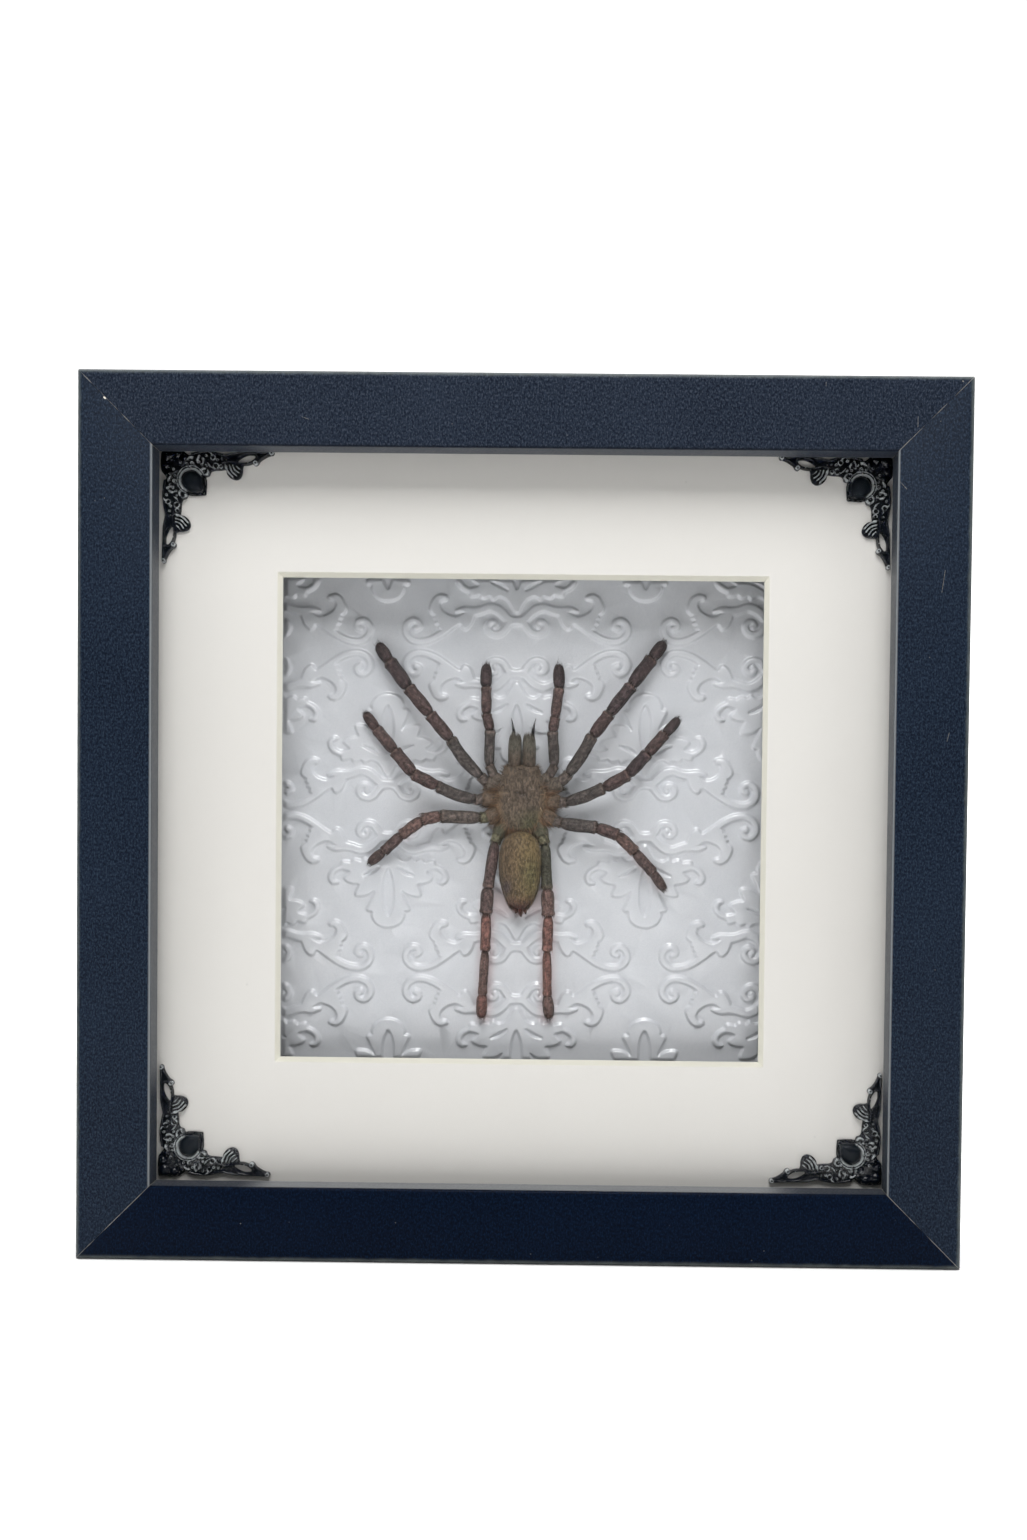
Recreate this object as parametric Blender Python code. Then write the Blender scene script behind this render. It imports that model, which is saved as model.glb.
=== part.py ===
"""Framed tarantula specimen.

A dried, spread tarantula lies on damask-embossed paper at the back of a square shadow box. The box
is four mitred rails with a rabbet. From the front, the rabbet holds a pane, a thin fillet, a mat
with a bevelled window and a filigree casting in each corner, a deep spacer, the paper and a backing
board, which bent metal points keep in. The box stands on its bottom rail, its front faces -Y, and
the origin is under the middle of the whole.

All dimensions are millimetres, and every mesh is scaled to metres as it is made. Depths run back
from the front face, lifts run forward from the paper.
"""

import math

import bmesh
import bpy
from mathutils import Matrix, Vector

MM = 0.001
GAP = 0.3  # clearance between pieces that touch

# Frame moulding
SIDE = 250.0
DEPTH = 40.0
RAIL_FACE = 21.1
RAIL_WALL = 14.0  # rail width behind the lip, where the rabbet is cut away
LIP_DEPTH = 8.0
OUTER_ARRIS = 2.0
INNER_ARRIS = 0.6
REAR_ARRIS = 0.6
ARC_STEPS = 3

# Layers in the rabbet, front to back
RABBET_PLAY = 0.5
PANE_THICK = 2.0
FILLET_DEPTH = 3.2
FILLET_WIDTH = 4.5
MAT_THICK = 1.4
MAT_WINDOW = 141.8
WINDOW_CENTRE = Vector((-0.55, 125.35))
SPACER_DEPTH = 16.0
SPACER_WIDTH = 8.0
PAPER_THICK = 0.5
BACKING_THICK = 3.0

# Metal points, two along each rail
POINT_SIZE = Vector((8.0, 14.0, 0.5))
POINT_IN_RAIL = 4.5
POINT_SPACING = 60.0
SLOT_PLAY = 0.3

# Sawtooth hanger on the top rail
HANGER_LENGTH = 46.0
HANGER_HEIGHT = 8.0
HANGER_THICK = 0.8
TEETH = 9
TOOTH_HEIGHT = 1.6
NAIL_SPACING = 38.0
NAIL_HEAD = Vector((4.0, 0.6))  # diameter, thickness
NAIL_SHANK = Vector((1.4, 8.0))  # diameter, length in the wood
NAIL_PLAY = 0.4
HANGER_PROUD = 2 * GAP + HANGER_THICK + NAIL_HEAD.y

# Corner castings
CASTING_REACH = 105.2  # from the middle of the opening to a casting's outer edges
CASTING_MIDDLE = 125.8
CASTING_THICK = 1.8
GEM_AT = (9.9, 9.9)
GEM_LONG = 4.6
GEM_HALF = 3.1
GEM_SIDES = 16
GEM_RISE = 1.2
SLOT_AT = (25.3, 2.6)
SLOT_HALF = Vector((2.2, 0.75))
SLOT_TILT = 0.16
# Half of a casting's outline, (along, across) one arm: out along the edge, round the tip and back
ARM_EDGE = (
    (0.6, 0.6), (3.4, 0.1), (5.9, 0.2), (7.2, 1.0), (8.3, 1.6), (9.5, 1.0), (11.3, 0.6), (14.2, 0.5),
    (16.8, 0.9), (18.8, 1.3), (20.9, 0.9), (23.4, 0.6), (31.7, 0.4), (32.8, 0.8), (32.5, 1.6), (31.2, 2.1),
    (29.6, 2.8), (28.4, 4.2), (27.2, 4.6), (26.1, 4.0), (24.5, 4.1), (23.8, 5.4), (23.2, 8.2), (21.9, 8.9),
    (20.3, 8.4), (19.0, 6.2), (17.0, 6.2), (15.0, 6.4), (14.1, 7.7), (12.9, 8.2), (12.2, 9.6), (11.0, 11.0),
)

# Tarantula: the middle of the carapace, and each segment's joints as (x, z, lift) from there
SPIDER = Vector((-1.2, 133.0))
LEG_JOINTS = {
    "leg_1_left": ((-9.8, 3.3, 5.0), (-12.0, 5.3, 5.4), (-20.9, 16.2, 6.6), (-27.0, 23.5, 6.8),
                   (-33.7, 31.4, 5.0), (-39.6, 39.3, 3.2), (-43.3, 44.8, 2.4)),
    "leg_1_right": ((11.4, 3.4, 5.0), (14.1, 6.2, 5.4), (21.2, 17.6, 6.6), (26.0, 24.1, 6.8),
                    (32.5, 32.7, 5.0), (38.6, 40.9, 3.2), (42.4, 46.1, 2.4)),
    "leg_2_left": ((-11.0, -1.4, 5.0), (-13.4, -1.7, 5.4), (-24.8, 2.3, 6.6), (-31.8, 5.7, 6.8),
                   (-37.7, 12.6, 5.0), (-43.3, 19.1, 3.2), (-47.0, 24.1, 2.4)),
    "leg_2_right": ((11.2, -2.0, 5.0), (13.6, -2.2, 5.4), (24.7, 2.2, 6.6), (31.8, 6.2, 6.8),
                    (37.4, 12.4, 5.0), (42.7, 18.5, 3.2), (47.0, 23.3, 2.4)),
    "leg_3_left": ((-9.5, -6.8, 5.0), (-11.9, -7.0, 5.4), (-23.6, -6.6, 6.6), (-29.0, -7.7, 6.8),
                   (-35.4, -12.3, 5.0), (-41.0, -17.3, 3.2), (-45.4, -21.1, 2.4)),
    "leg_3_right": ((9.7, -7.3, 5.0), (12.1, -8.4, 5.4), (22.7, -9.5, 6.6), (28.9, -11.6, 6.8),
                    (34.1, -16.6, 5.0), (39.6, -22.7, 3.2), (43.4, -28.1, 2.4)),
    "leg_4_left": ((-6.6, -11.7, 5.0), (-7.5, -14.3, 5.4), (-9.4, -27.8, 6.6), (-9.9, -35.3, 6.8),
                   (-10.2, -46.5, 5.0), (-11.0, -60.0, 3.2), (-11.3, -67.2, 2.4)),
    "leg_4_right": ((6.5, -11.9, 5.0), (7.4, -14.6, 5.4), (8.2, -28.0, 6.6), (8.6, -35.9, 6.8),
                    (8.3, -46.5, 5.0), (8.5, -60.2, 3.2), (9.1, -67.2, 2.4)),
}
LEG_RADII = {  # trochanter, femur, patella, tibia, metatarsus, tarsus
    "leg_1": (1.5, 1.7, 1.8, 1.85, 1.9, 1.65),
    "leg_2": (1.5, 1.7, 1.75, 1.8, 1.7, 1.4),
    "leg_3": (1.5, 1.8, 1.75, 1.65, 1.55, 1.35),
    "leg_4": (1.5, 1.6, 1.8, 1.5, 1.3, 1.5),
}
PALP_JOINTS = {
    "pedipalp_left": ((-7.7, 5.0, 5.0), (-9.5, 8.6, 5.2), (-9.2, 19.0, 5.8), (-10.4, 23.7, 5.6),
                      (-10.7, 31.8, 4.0), (-10.7, 38.9, 3.0)),
    "pedipalp_right": ((8.1, 5.2, 5.0), (10.0, 8.6, 5.2), (9.3, 18.8, 5.8), (10.0, 22.9, 5.6),
                       (11.1, 31.7, 4.0), (10.9, 39.0, 3.0)),
}
PALP_RADII = (1.3, 1.45, 1.45, 1.5, 1.6)
JOINT_WAIST = 0.72  # a segment's radius at its ends, as a share of its middle
LIMB_SIDES = 8

CARAPACE_HALF = Vector((7.75, 9.4))
CARAPACE_MIDDLE = Vector((0.4, -1.0))
CARAPACE_LIFT = 5.2
CARAPACE_HEIGHT = 4.6
COXA_HEIGHT = 2.2
FRONT_BODY_SIDES = 60
FRONT_BODY_RINGS = (0.3, 0.6, 0.8, 0.9, 1.0)

ABDOMEN_X = 0.0
ABDOMEN_FRONT = -11.2
ABDOMEN_REAR = -34.6
ABDOMEN_HALF = Vector((6.1, 4.9))  # across, and front to back of the box
ABDOMEN_LIFT = 5.6
SPINNERETS = ((0.15, -34.9, -37.0, 0.65), (-1.2, -34.6, -35.9, 0.5), (1.7, -34.6, -36.0, 0.5))
SPINNERET_LIFT = 4.6
CHELICERAE = {"left": -1.8, "right": 2.4}
CHELICERA_Z = (8.3, 17.5)
CHELICERA_HALF = Vector((1.92, 2.5))
CHELICERA_LIFT = 5.6
FANG_LENGTH = 4.6
FANG_OUTWARD = 0.6  # how far a fang stands out from its chelicera at its base, and again at its tip
FANG_RADIUS = 0.62

# Where each layer starts, back from the front face
PANE_DEPTH = LIP_DEPTH + GAP
FILLET_START = PANE_DEPTH + PANE_THICK + GAP
MAT_START = FILLET_START + FILLET_DEPTH + GAP
SPACER_START = MAT_START + MAT_THICK + GAP
PAPER_START = SPACER_START + SPACER_DEPTH + GAP
BACKING_START = PAPER_START + PAPER_THICK + GAP
POINTS_START = BACKING_START + BACKING_THICK + GAP
FRONT_Y = -(DEPTH + HANGER_PROUD) / 2
RABBET_HALF = SIDE / 2 - RAIL_WALL
LAYER_HALF = RABBET_HALF - RABBET_PLAY

for left_over in list(bpy.data.objects):
    bpy.data.objects.remove(left_over, do_unlink=True)


def material(name, colour, roughness, metallic=0.0, transmission=0.0):
    """A Principled material, made once and found by name after that."""
    found = bpy.data.materials.get(name)
    if found:
        return found
    made = bpy.data.materials.new(name)
    made.use_nodes = True
    shader = made.node_tree.nodes["Principled BSDF"]
    shader.inputs["Base Color"].default_value = (*colour, 1.0)
    shader.inputs["Roughness"].default_value = roughness
    shader.inputs["Metallic"].default_value = metallic
    shader.inputs["Transmission Weight"].default_value = transmission
    return made


FOILED_WOOD = material("foiled_wood", (0.025, 0.032, 0.045), 0.42)
CLEAR_PANE = material("clear_pane", (1.0, 1.0, 1.0), 0.02, transmission=1.0)
MAT_CARD = material("mat_card", (0.76, 0.75, 0.72), 0.8)
BLACK_STRIP = material("black_strip", (0.02, 0.02, 0.022), 0.6)
EMBOSSED_STOCK = material("embossed_stock", (0.68, 0.70, 0.73), 0.75)
GREY_BOARD = material("grey_board", (0.32, 0.29, 0.25), 0.85)
STEEL = material("steel", (0.55, 0.55, 0.56), 0.35, metallic=1.0)
BLACK_CASTING = material("black_casting", (0.015, 0.015, 0.017), 0.2)
CUTICLE = material("cuticle", (0.14, 0.10, 0.07), 0.65)
ABDOMEN_SKIN = material("abdomen_skin", (0.18, 0.13, 0.08), 0.75)
LEG_SKIN = material("leg_skin", (0.13, 0.08, 0.065), 0.65)
FANG_HORN = material("fang_horn", (0.012, 0.010, 0.010), 0.18)


def place(x, depth, z):
    """A point of the box, in metres."""
    return Vector((x, FRONT_Y + depth, z)) * MM


def on_paper(x, z, lift):
    """A point of the tarantula, in metres, from the carapace's middle and the paper."""
    return place(SPIDER.x + x, PAPER_START - lift, SPIDER.y + z)


def object_of(name, mesh, finish, smooth=False):
    """An object that shows the mesh."""
    mesh.materials.clear()
    mesh.materials.append(finish)
    if smooth:
        mesh.shade_smooth()
        mesh.set_sharp_from_angle(angle=math.radians(40))
    made = bpy.data.objects.new(name, mesh)
    bpy.context.scene.collection.objects.link(made)
    return made


def mesh_of(name, points, faces):
    """A closed mesh whose faces point out."""
    shape = bmesh.new()
    corners = [shape.verts.new(point) for point in points]
    for face in faces:
        shape.faces.new([corners[i] for i in face])
    bmesh.ops.recalc_face_normals(shape, faces=shape.faces)
    if shape.calc_volume(signed=True) < 0:
        bmesh.ops.reverse_faces(shape, faces=shape.faces)
    mesh = bpy.data.meshes.new(name)
    shape.to_mesh(mesh)
    shape.free()
    return mesh


def skin_of(name, rings, finish):
    """A solid whose skin joins rings of points, each ring with as many points, and closed at both ends."""
    count = len(rings[0])
    points = [point for ring in rings for point in ring]
    faces = [tuple(range(count)), tuple(range(len(points) - count, len(points)))]
    for k in range(len(rings) - 1):
        for i in range(count):
            j = (i + 1) % count
            faces.append((k * count + i, k * count + j, (k + 1) * count + j, (k + 1) * count + i))
    return object_of(name, mesh_of(name, points, faces), finish, smooth=True)


def block(name, x, depth, z, finish):
    """A box between two values on each axis."""
    corners = ((x[0], z[0]), (x[1], z[0]), (x[1], z[1]), (x[0], z[1]))
    rings = [[place(corner_x, end, corner_z) for corner_x, corner_z in corners] for end in depth]
    return skin_of(name, rings, finish)


def cylinder(name, centre, axis, radius, length, finish, sides=16):
    """A round bar that starts at centre and runs along axis, in millimetres of the box."""
    turn = axis.to_track_quat("Z", "Y").to_matrix()
    rings = []
    for along in (0.0, length):
        rings.append([place(*(centre + turn @ Vector((radius * math.cos(a), radius * math.sin(a), along))))
                      for a in (2 * math.pi * i / sides for i in range(sides))])
    return skin_of(name, rings, finish)


def boolean(target, operation, other):
    """Joins the other object to the target or cuts it away, and keeps it as a hidden helper."""
    other.hide_render = True
    other.display_type = "WIRE"
    step = target.modifiers.new(operation.lower(), "BOOLEAN")
    step.operation = operation
    step.solver = "EXACT"
    step.object = other


# --- Shadow-box frame ---------------------------------------------------------------------------


def rounded(corners):
    """The outline through (u, depth, radius) corners, each with its corner turned into an arc."""
    outline = []
    for i, (u, depth, radius) in enumerate(corners):
        here = Vector((u, depth))
        if radius == 0:
            outline.append(here)
            continue
        before = (Vector(corners[i - 1][:2]) - here).normalized()
        after = (Vector(corners[(i + 1) % len(corners)][:2]) - here).normalized()
        for step in range(ARC_STEPS + 1):
            a = math.pi / 2 * step / ARC_STEPS
            outline.append(here + radius * (before * (1 - math.sin(a)) + after * (1 - math.cos(a))))
    return outline


RAIL_OUTLINE = rounded((
    (0, DEPTH, REAR_ARRIS),
    (0, 0, OUTER_ARRIS),
    (RAIL_FACE, 0, INNER_ARRIS),
    (RAIL_FACE, LIP_DEPTH, 0),
    (RAIL_WALL, LIP_DEPTH, 0),
    (RAIL_WALL, DEPTH, REAR_ARRIS),
))
RAIL_TURNS = {"frame_rail_bottom": 0, "frame_rail_right": 1, "frame_rail_top": 2, "frame_rail_left": 3}


def turned(x, z, quarter):
    """A point of the bottom rail, turned by quarters about the middle of the frame."""
    dx, dz = x, z - SIDE / 2
    for _ in range(quarter):
        dx, dz = -dz, dx
    return dx, dz + SIDE / 2


def rail(name, quarter):
    """One mitred rail: its outline swept between two 45 degree cuts."""
    rings = []
    for end in (-1, 1):
        ring = []
        for u, depth in RAIL_OUTLINE:
            x, z = turned(end * (SIDE / 2 - u - GAP / 2), u, quarter)
            ring.append(place(x, depth, z))
        rings.append(ring)
    return skin_of(name, rings, FOILED_WOOD)


def retaining_points(quarter, wood):
    """Two metal points pushed into slots in a rail, lying over the backing board."""
    side = {0: "bottom", 1: "right", 2: "top", 3: "left"}[quarter]
    wide, long, thick = POINT_SIZE
    for sign, which in ((-1, "a"), (1, "b")):
        along = (sign * POINT_SPACING - wide / 2, sign * POINT_SPACING + wide / 2)
        across = (RAIL_WALL - POINT_IN_RAIL, RAIL_WALL - POINT_IN_RAIL + long)
        depth = (POINTS_START, POINTS_START + thick)
        grown = [(low - SLOT_PLAY, high + SLOT_PLAY) for low, high in (along, across, depth)]
        for name, (a, b, d), finish in ((f"retaining_point_{side}_{which}", (along, across, depth), STEEL),
                                        (f"slot_{side}_{which}", grown, BLACK_STRIP)):
            corners = [turned(a[i], b[j], quarter) for i, j in ((0, 0), (1, 1))]
            x = sorted(corner[0] for corner in corners)
            z = sorted(corner[1] for corner in corners)
            made = block(name, x, d, z, finish)
            if name.startswith("slot"):
                boolean(wood, "DIFFERENCE", made)


def strips(name, depth, width):
    """Four strips round the rabbet: full ones at the top and bottom, shorter ones between them."""
    outer, inner = LAYER_HALF, LAYER_HALF - width
    low, high = SIDE / 2 - outer, SIDE / 2 + outer
    block(f"{name}_bottom", (-outer, outer), depth, (low, low + width), BLACK_STRIP)
    block(f"{name}_top", (-outer, outer), depth, (high - width, high), BLACK_STRIP)
    between = (low + width + GAP, high - width - GAP)
    block(f"{name}_left", (-outer, -inner), depth, between, BLACK_STRIP)
    block(f"{name}_right", (inner, outer), depth, between, BLACK_STRIP)


def mat_board():
    """The mat: a square card with a window cut at 45 degrees, wider at the front."""
    card_centre = Vector((0, SIDE / 2))
    outlines = ((card_centre, LAYER_HALF, 0.0), (WINDOW_CENTRE, MAT_WINDOW / 2, 0.0),
                (WINDOW_CENTRE, MAT_WINDOW / 2 - MAT_THICK, MAT_THICK), (card_centre, LAYER_HALF, MAT_THICK))
    points = []
    for centre, half, depth in outlines:
        for x_sign, z_sign in ((-1, -1), (1, -1), (1, 1), (-1, 1)):
            points.append(place(centre.x + x_sign * half, MAT_START + depth, centre.y + z_sign * half))
    faces = []
    for k in range(4):
        for i in range(4):
            j = (i + 1) % 4
            faces.append((4 * k + i, 4 * k + j, 4 * ((k + 1) % 4) + j, 4 * ((k + 1) % 4) + i))
    return object_of("mat_board", mesh_of("mat_board", points, faces), MAT_CARD)


def sheet(name, start, thick, finish):
    """A square sheet that fills the rabbet."""
    low, high = SIDE / 2 - LAYER_HALF, SIDE / 2 + LAYER_HALF
    block(name, (-LAYER_HALF, LAYER_HALF), (start, start + thick), (low, high), finish)


def sawtooth_hanger(wood):
    """The hanger plate with its toothed lower edge, and the two nails that hold it."""
    z_middle = SIDE - RAIL_WALL / 2
    top, teeth_top = z_middle + HANGER_HEIGHT / 2, z_middle - HANGER_HEIGHT / 2 + TOOTH_HEIGHT
    toothed = NAIL_SPACING - 10
    outline = [(HANGER_LENGTH / 2, top), (-HANGER_LENGTH / 2, top),
               (-HANGER_LENGTH / 2, z_middle), (-toothed / 2, teeth_top)]
    for tooth in range(TEETH):
        x = -toothed / 2 + toothed * tooth / TEETH
        outline += [(x + toothed / TEETH / 2, teeth_top - TOOTH_HEIGHT), (x + toothed / TEETH, teeth_top)]
    outline.append((HANGER_LENGTH / 2, z_middle))
    start = DEPTH + GAP
    rings = [[place(x, depth, z) for x, z in outline] for depth in (start, start + HANGER_THICK)]
    plate = skin_of("sawtooth_hanger", rings, STEEL)
    back = Vector((0, 1, 0))
    for sign, side in ((-1, "left"), (1, "right")):
        x = sign * NAIL_SPACING / 2
        z = z_middle + 1.2
        head_start = start + HANGER_THICK + GAP
        nail = cylinder(f"hanger_nail_{side}", Vector((x, head_start, z)), back,
                        NAIL_HEAD.x / 2, NAIL_HEAD.y, STEEL)
        shank_start = DEPTH - NAIL_SHANK.y
        shank = cylinder(f"shank_{side}", Vector((x, shank_start, z)), back,
                         NAIL_SHANK.x / 2, head_start - shank_start + NAIL_HEAD.y / 2, STEEL, 8)
        boolean(nail, "UNION", shank)
        bore = cylinder(f"bore_{side}", Vector((x, shank_start - 1, z)), back,
                        NAIL_SHANK.x / 2 + NAIL_PLAY, NAIL_SHANK.y + 6, STEEL, 12)
        boolean(plate, "DIFFERENCE", bore)
        boolean(wood, "DIFFERENCE", bore)


for rail_name, rail_quarter in RAIL_TURNS.items():
    rail_object = rail(rail_name, rail_quarter)
    retaining_points(rail_quarter, rail_object)
    if rail_name == "frame_rail_top":
        sawtooth_hanger(rail_object)
sheet("glazing_pane", PANE_DEPTH, PANE_THICK, CLEAR_PANE)
strips("front_fillet", (FILLET_START, FILLET_START + FILLET_DEPTH), FILLET_WIDTH)
mat_board()
strips("depth_spacer", (SPACER_START, SPACER_START + SPACER_DEPTH), SPACER_WIDTH)
sheet("embossed_paper", PAPER_START, PAPER_THICK, EMBOSSED_STOCK)
sheet("backing_board", BACKING_START, BACKING_THICK, GREY_BOARD)


# --- Corner castings ----------------------------------------------------------------------------


def inset(outline, amount):
    """The outline moved inwards by an amount; it runs anticlockwise."""
    moved = []
    for i, (u, v) in enumerate(outline):
        before, after = Vector(outline[i - 1]), Vector(outline[(i + 1) % len(outline)])
        along = (after - before).normalized()
        moved.append((u - amount * along.y, v + amount * along.x))
    return moved


def plate(name, outline, heights, insets):
    """A solid that stacks insets of one outline at the given heights over the mat."""
    rings = [[Vector((u, v, height)) * MM for u, v in inset(outline, amount)]
             for height, amount in zip(heights, insets)]
    return skin_of(name, rings, BLACK_CASTING)


def gem():
    """The gem: round at its outer end, pointed at its inner end, and domed."""
    diagonal = Vector((1, 1)).normalized()
    across = Vector((-diagonal.y, diagonal.x))
    outline = []
    for i in range(GEM_SIDES):
        a = 2 * math.pi * i / GEM_SIDES
        taper = 1 - 0.25 * math.cos(a) - 0.12 * math.cos(2 * a)
        point = Vector(GEM_AT) + diagonal * GEM_LONG * math.cos(a) + across * GEM_HALF * taper * math.sin(a)
        outline.append(tuple(point))
    rises = [0.3] + [CASTING_THICK + GEM_RISE * share for share in (0.0, 0.6, 1.0)]
    return plate("gem", outline, rises, (0.0, 0.0, 0.5, 1.2))


def slot_through(name, middle, swapped):
    """The teardrop opening through one arm."""
    outline = []
    for i in range(10):
        a = 2 * math.pi * i / 10
        u = SLOT_HALF.x * math.cos(a)
        v = SLOT_HALF.y * math.sin(a) * (1 - 0.35 * math.cos(a)) - SLOT_TILT * u
        outline.append((middle[0] + u, middle[1] + v))
    if swapped:
        outline = [(v, u) for u, v in reversed(outline)]
    return plate(name, outline, (-1.0, CASTING_THICK + 1.0), (0.0, 0.0))


def casting_mesh():
    """One corner casting: a solid corner, a gem and two tapered arms with a scroll, as one solid.

    The arms run along +X and +Y and the front is +Z, so that each corner mirrors the same mesh.
    """
    outline = [*ARM_EDGE, *((v, u) for u, v in reversed(ARM_EDGE[1:-1]))]
    body = plate("casting_body", outline, (0.0, CASTING_THICK * 0.6, CASTING_THICK), (0.0, 0.0, 0.35))
    helpers = [body]
    for swapped in (False, True):
        helpers.append(slot_through(f"casting_slot_{int(swapped)}", SLOT_AT, swapped))
        boolean(body, "DIFFERENCE", helpers[-1])
    helpers.append(gem())
    boolean(body, "UNION", helpers[-1])
    graph = bpy.context.evaluated_depsgraph_get()
    mesh = bpy.data.meshes.new_from_object(body.evaluated_get(graph))
    for helper in helpers:
        bpy.data.objects.remove(helper, do_unlink=True)
    return mesh


CASTING = casting_mesh()
for side_name, side_sign in (("left", 1), ("right", -1)):
    for level_name, level_sign in (("top", -1), ("bottom", 1)):
        casting = object_of(f"corner_casting_{level_name}_{side_name}", CASTING, BLACK_CASTING, smooth=True)
        corner = place(-side_sign * CASTING_REACH, MAT_START - GAP,
                       CASTING_MIDDLE - level_sign * CASTING_REACH)
        facing = Matrix(((side_sign, 0, 0, 0), (0, 0, -1, 0), (0, level_sign, 0, 0), (0, 0, 0, 1)))
        casting.matrix_world = Matrix.Translation(corner) @ facing


# --- Tarantula ----------------------------------------------------------------------------------


def ring_about(centre, along, radius, sides=LIMB_SIDES, flat=1.0):
    """A ring of points round a limb, in metres; flat squashes it towards the paper."""
    across = Vector((along.z, 0, -along.x)).normalized()
    over = along.cross(across).normalized()
    return [centre + MM * radius * (math.cos(a) * across + flat * math.sin(a) * over)
            for a in (2 * math.pi * i / sides for i in range(sides))]


def limb(name, joints, radii, finish):
    """A jointed limb as one solid: each segment swells in the middle and narrows at its joints."""
    centres = [on_paper(*joint) for joint in joints]
    rings = []
    for k, radius in enumerate(radii):
        start, end = centres[k], centres[k + 1]
        along = (end - start).normalized()
        shares = ((0.04, JOINT_WAIST), (0.22, 0.96), (0.6, 1.0), (0.88, 0.93))
        if k == len(radii) - 1:
            shares = ((0.04, JOINT_WAIST), (0.25, 1.0), (0.7, 0.95), (0.92, 0.68), (1.0, 0.3))
        for share, swell in shares:
            rings.append(ring_about(start.lerp(end, share), along, radius * swell))
    return skin_of(name, rings, finish)


def front_body():
    """The carapace with the ends of the ten limbs' coxae round it, which dry together as one piece."""
    limbs = (*LEG_JOINTS.values(), *PALP_JOINTS.values())
    hips = [Vector(joints[0][:2]) - CARAPACE_MIDDLE for joints in limbs]
    bearings = [math.atan2(hip.y, hip.x) for hip in hips]
    reaches = [hip.length - 0.9 for hip in hips]

    def outline(a):
        """How far the carapace and the whole outline reach at an angle."""
        shield = 1 / math.hypot(math.cos(a) / CARAPACE_HALF.x, math.sin(a) / CARAPACE_HALF.y)
        whole = shield
        for bearing, reach in zip(bearings, reaches):
            off = math.remainder(a - bearing, 2 * math.pi)
            lobe = math.exp(-(off / 0.15) ** 2)
            whole = max(whole, shield + (reach - shield) * lobe)
        return shield, whole

    angles = [2 * math.pi * i / FRONT_BODY_SIDES for i in range(FRONT_BODY_SIDES)]
    rings = []
    for side in (1, -1):
        shares = FRONT_BODY_RINGS if side == 1 else tuple(reversed(FRONT_BODY_RINGS[:-1]))
        for share in shares:
            ring = []
            for a in angles:
                shield, whole = outline(a)
                reach = share * whole
                dome = CARAPACE_HEIGHT * math.sqrt(max(0.0, 1 - (reach / (shield + 0.01)) ** 2))
                rim = COXA_HEIGHT * math.sqrt(max(0.0, 1 - share ** 4)) + 0.15
                height = max(dome, rim) if side == 1 else -max(0.75 * dome, rim)
                ring.append(on_paper(CARAPACE_MIDDLE.x + reach * math.cos(a),
                                     CARAPACE_MIDDLE.y + reach * math.sin(a), CARAPACE_LIFT + height))
            rings.append(ring)
    return skin_of("carapace", rings, CUTICLE)


def turned_body(name, x, z_range, lift, half, finish, shape, sides=16, steps=9):
    """A body that runs along Z, oval across, whose width follows shape(share) from end to end."""
    rings = []
    for k in range(steps):
        share = (1 - math.cos(math.pi * (k + 0.5) / steps)) / 2
        z = z_range[0] + (z_range[1] - z_range[0]) * share
        width = shape(share)
        rings.append([on_paper(x + half.x * width * math.cos(a), z, lift + half.y * width * math.sin(a))
                      for a in (2 * math.pi * i / sides for i in range(sides))])
    return skin_of(name, rings, finish)


def egg(share):
    """An egg's width, fullest before the middle."""
    return math.sqrt(max(0.0, 1 - (2 * share ** 1.15 - 1) ** 2)) ** 0.9


def barrel(share):
    """A chelicera's width: full and round-ended."""
    return max(0.0, 1 - abs(2 * share - 1) ** 3.2) ** 0.6


def spinnerets():
    """The spinnerets: a long middle one with a short one at each side, on one small base."""
    made = None
    for k, (x, z_start, z_end, radius) in enumerate(SPINNERETS):
        rings = [ring_about(on_paper(x, z_start + (z_end - z_start) * share, SPINNERET_LIFT),
                            Vector((0, 0, 1)), radius * swell)
                 for share, swell in ((0.0, 0.9), (0.4, 1.0), (0.8, 0.75), (1.0, 0.35))]
        if k == 0:
            made = skin_of("spinnerets", rings, CUTICLE)
            base = block("spinneret_base", (SPIDER.x - 1.5, SPIDER.x + 2.0),
                         (PAPER_START - SPINNERET_LIFT - 0.45, PAPER_START - SPINNERET_LIFT + 0.45),
                         (SPIDER.y + z_start - 0.5, SPIDER.y + z_start + 0.05), CUTICLE)
            boolean(made, "UNION", base)
        else:
            boolean(made, "UNION", skin_of(f"spinneret_{k}", rings, CUTICLE))
    return made


def chelicera(side, x):
    """One jaw: the hairy base segment, and the fang that leaves its front end."""
    turned_body(f"chelicera_{side}", x, CHELICERA_Z, CHELICERA_LIFT, CHELICERA_HALF, CUTICLE, barrel, 12, 8)
    outward = math.copysign(FANG_OUTWARD, x)
    rings = []
    for share in (0.0, 0.25, 0.5, 0.75, 1.0):
        centre = on_paper(x + outward * (1 + share ** 2), CHELICERA_Z[1] + GAP + FANG_LENGTH * share,
                          CHELICERA_LIFT - 1.6 * share ** 2)
        rings.append(ring_about(centre, Vector((0, 0, 1)), FANG_RADIUS * (1.04 - share), 8))
    skin_of(f"fang_{side}", rings, FANG_HORN)


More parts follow.
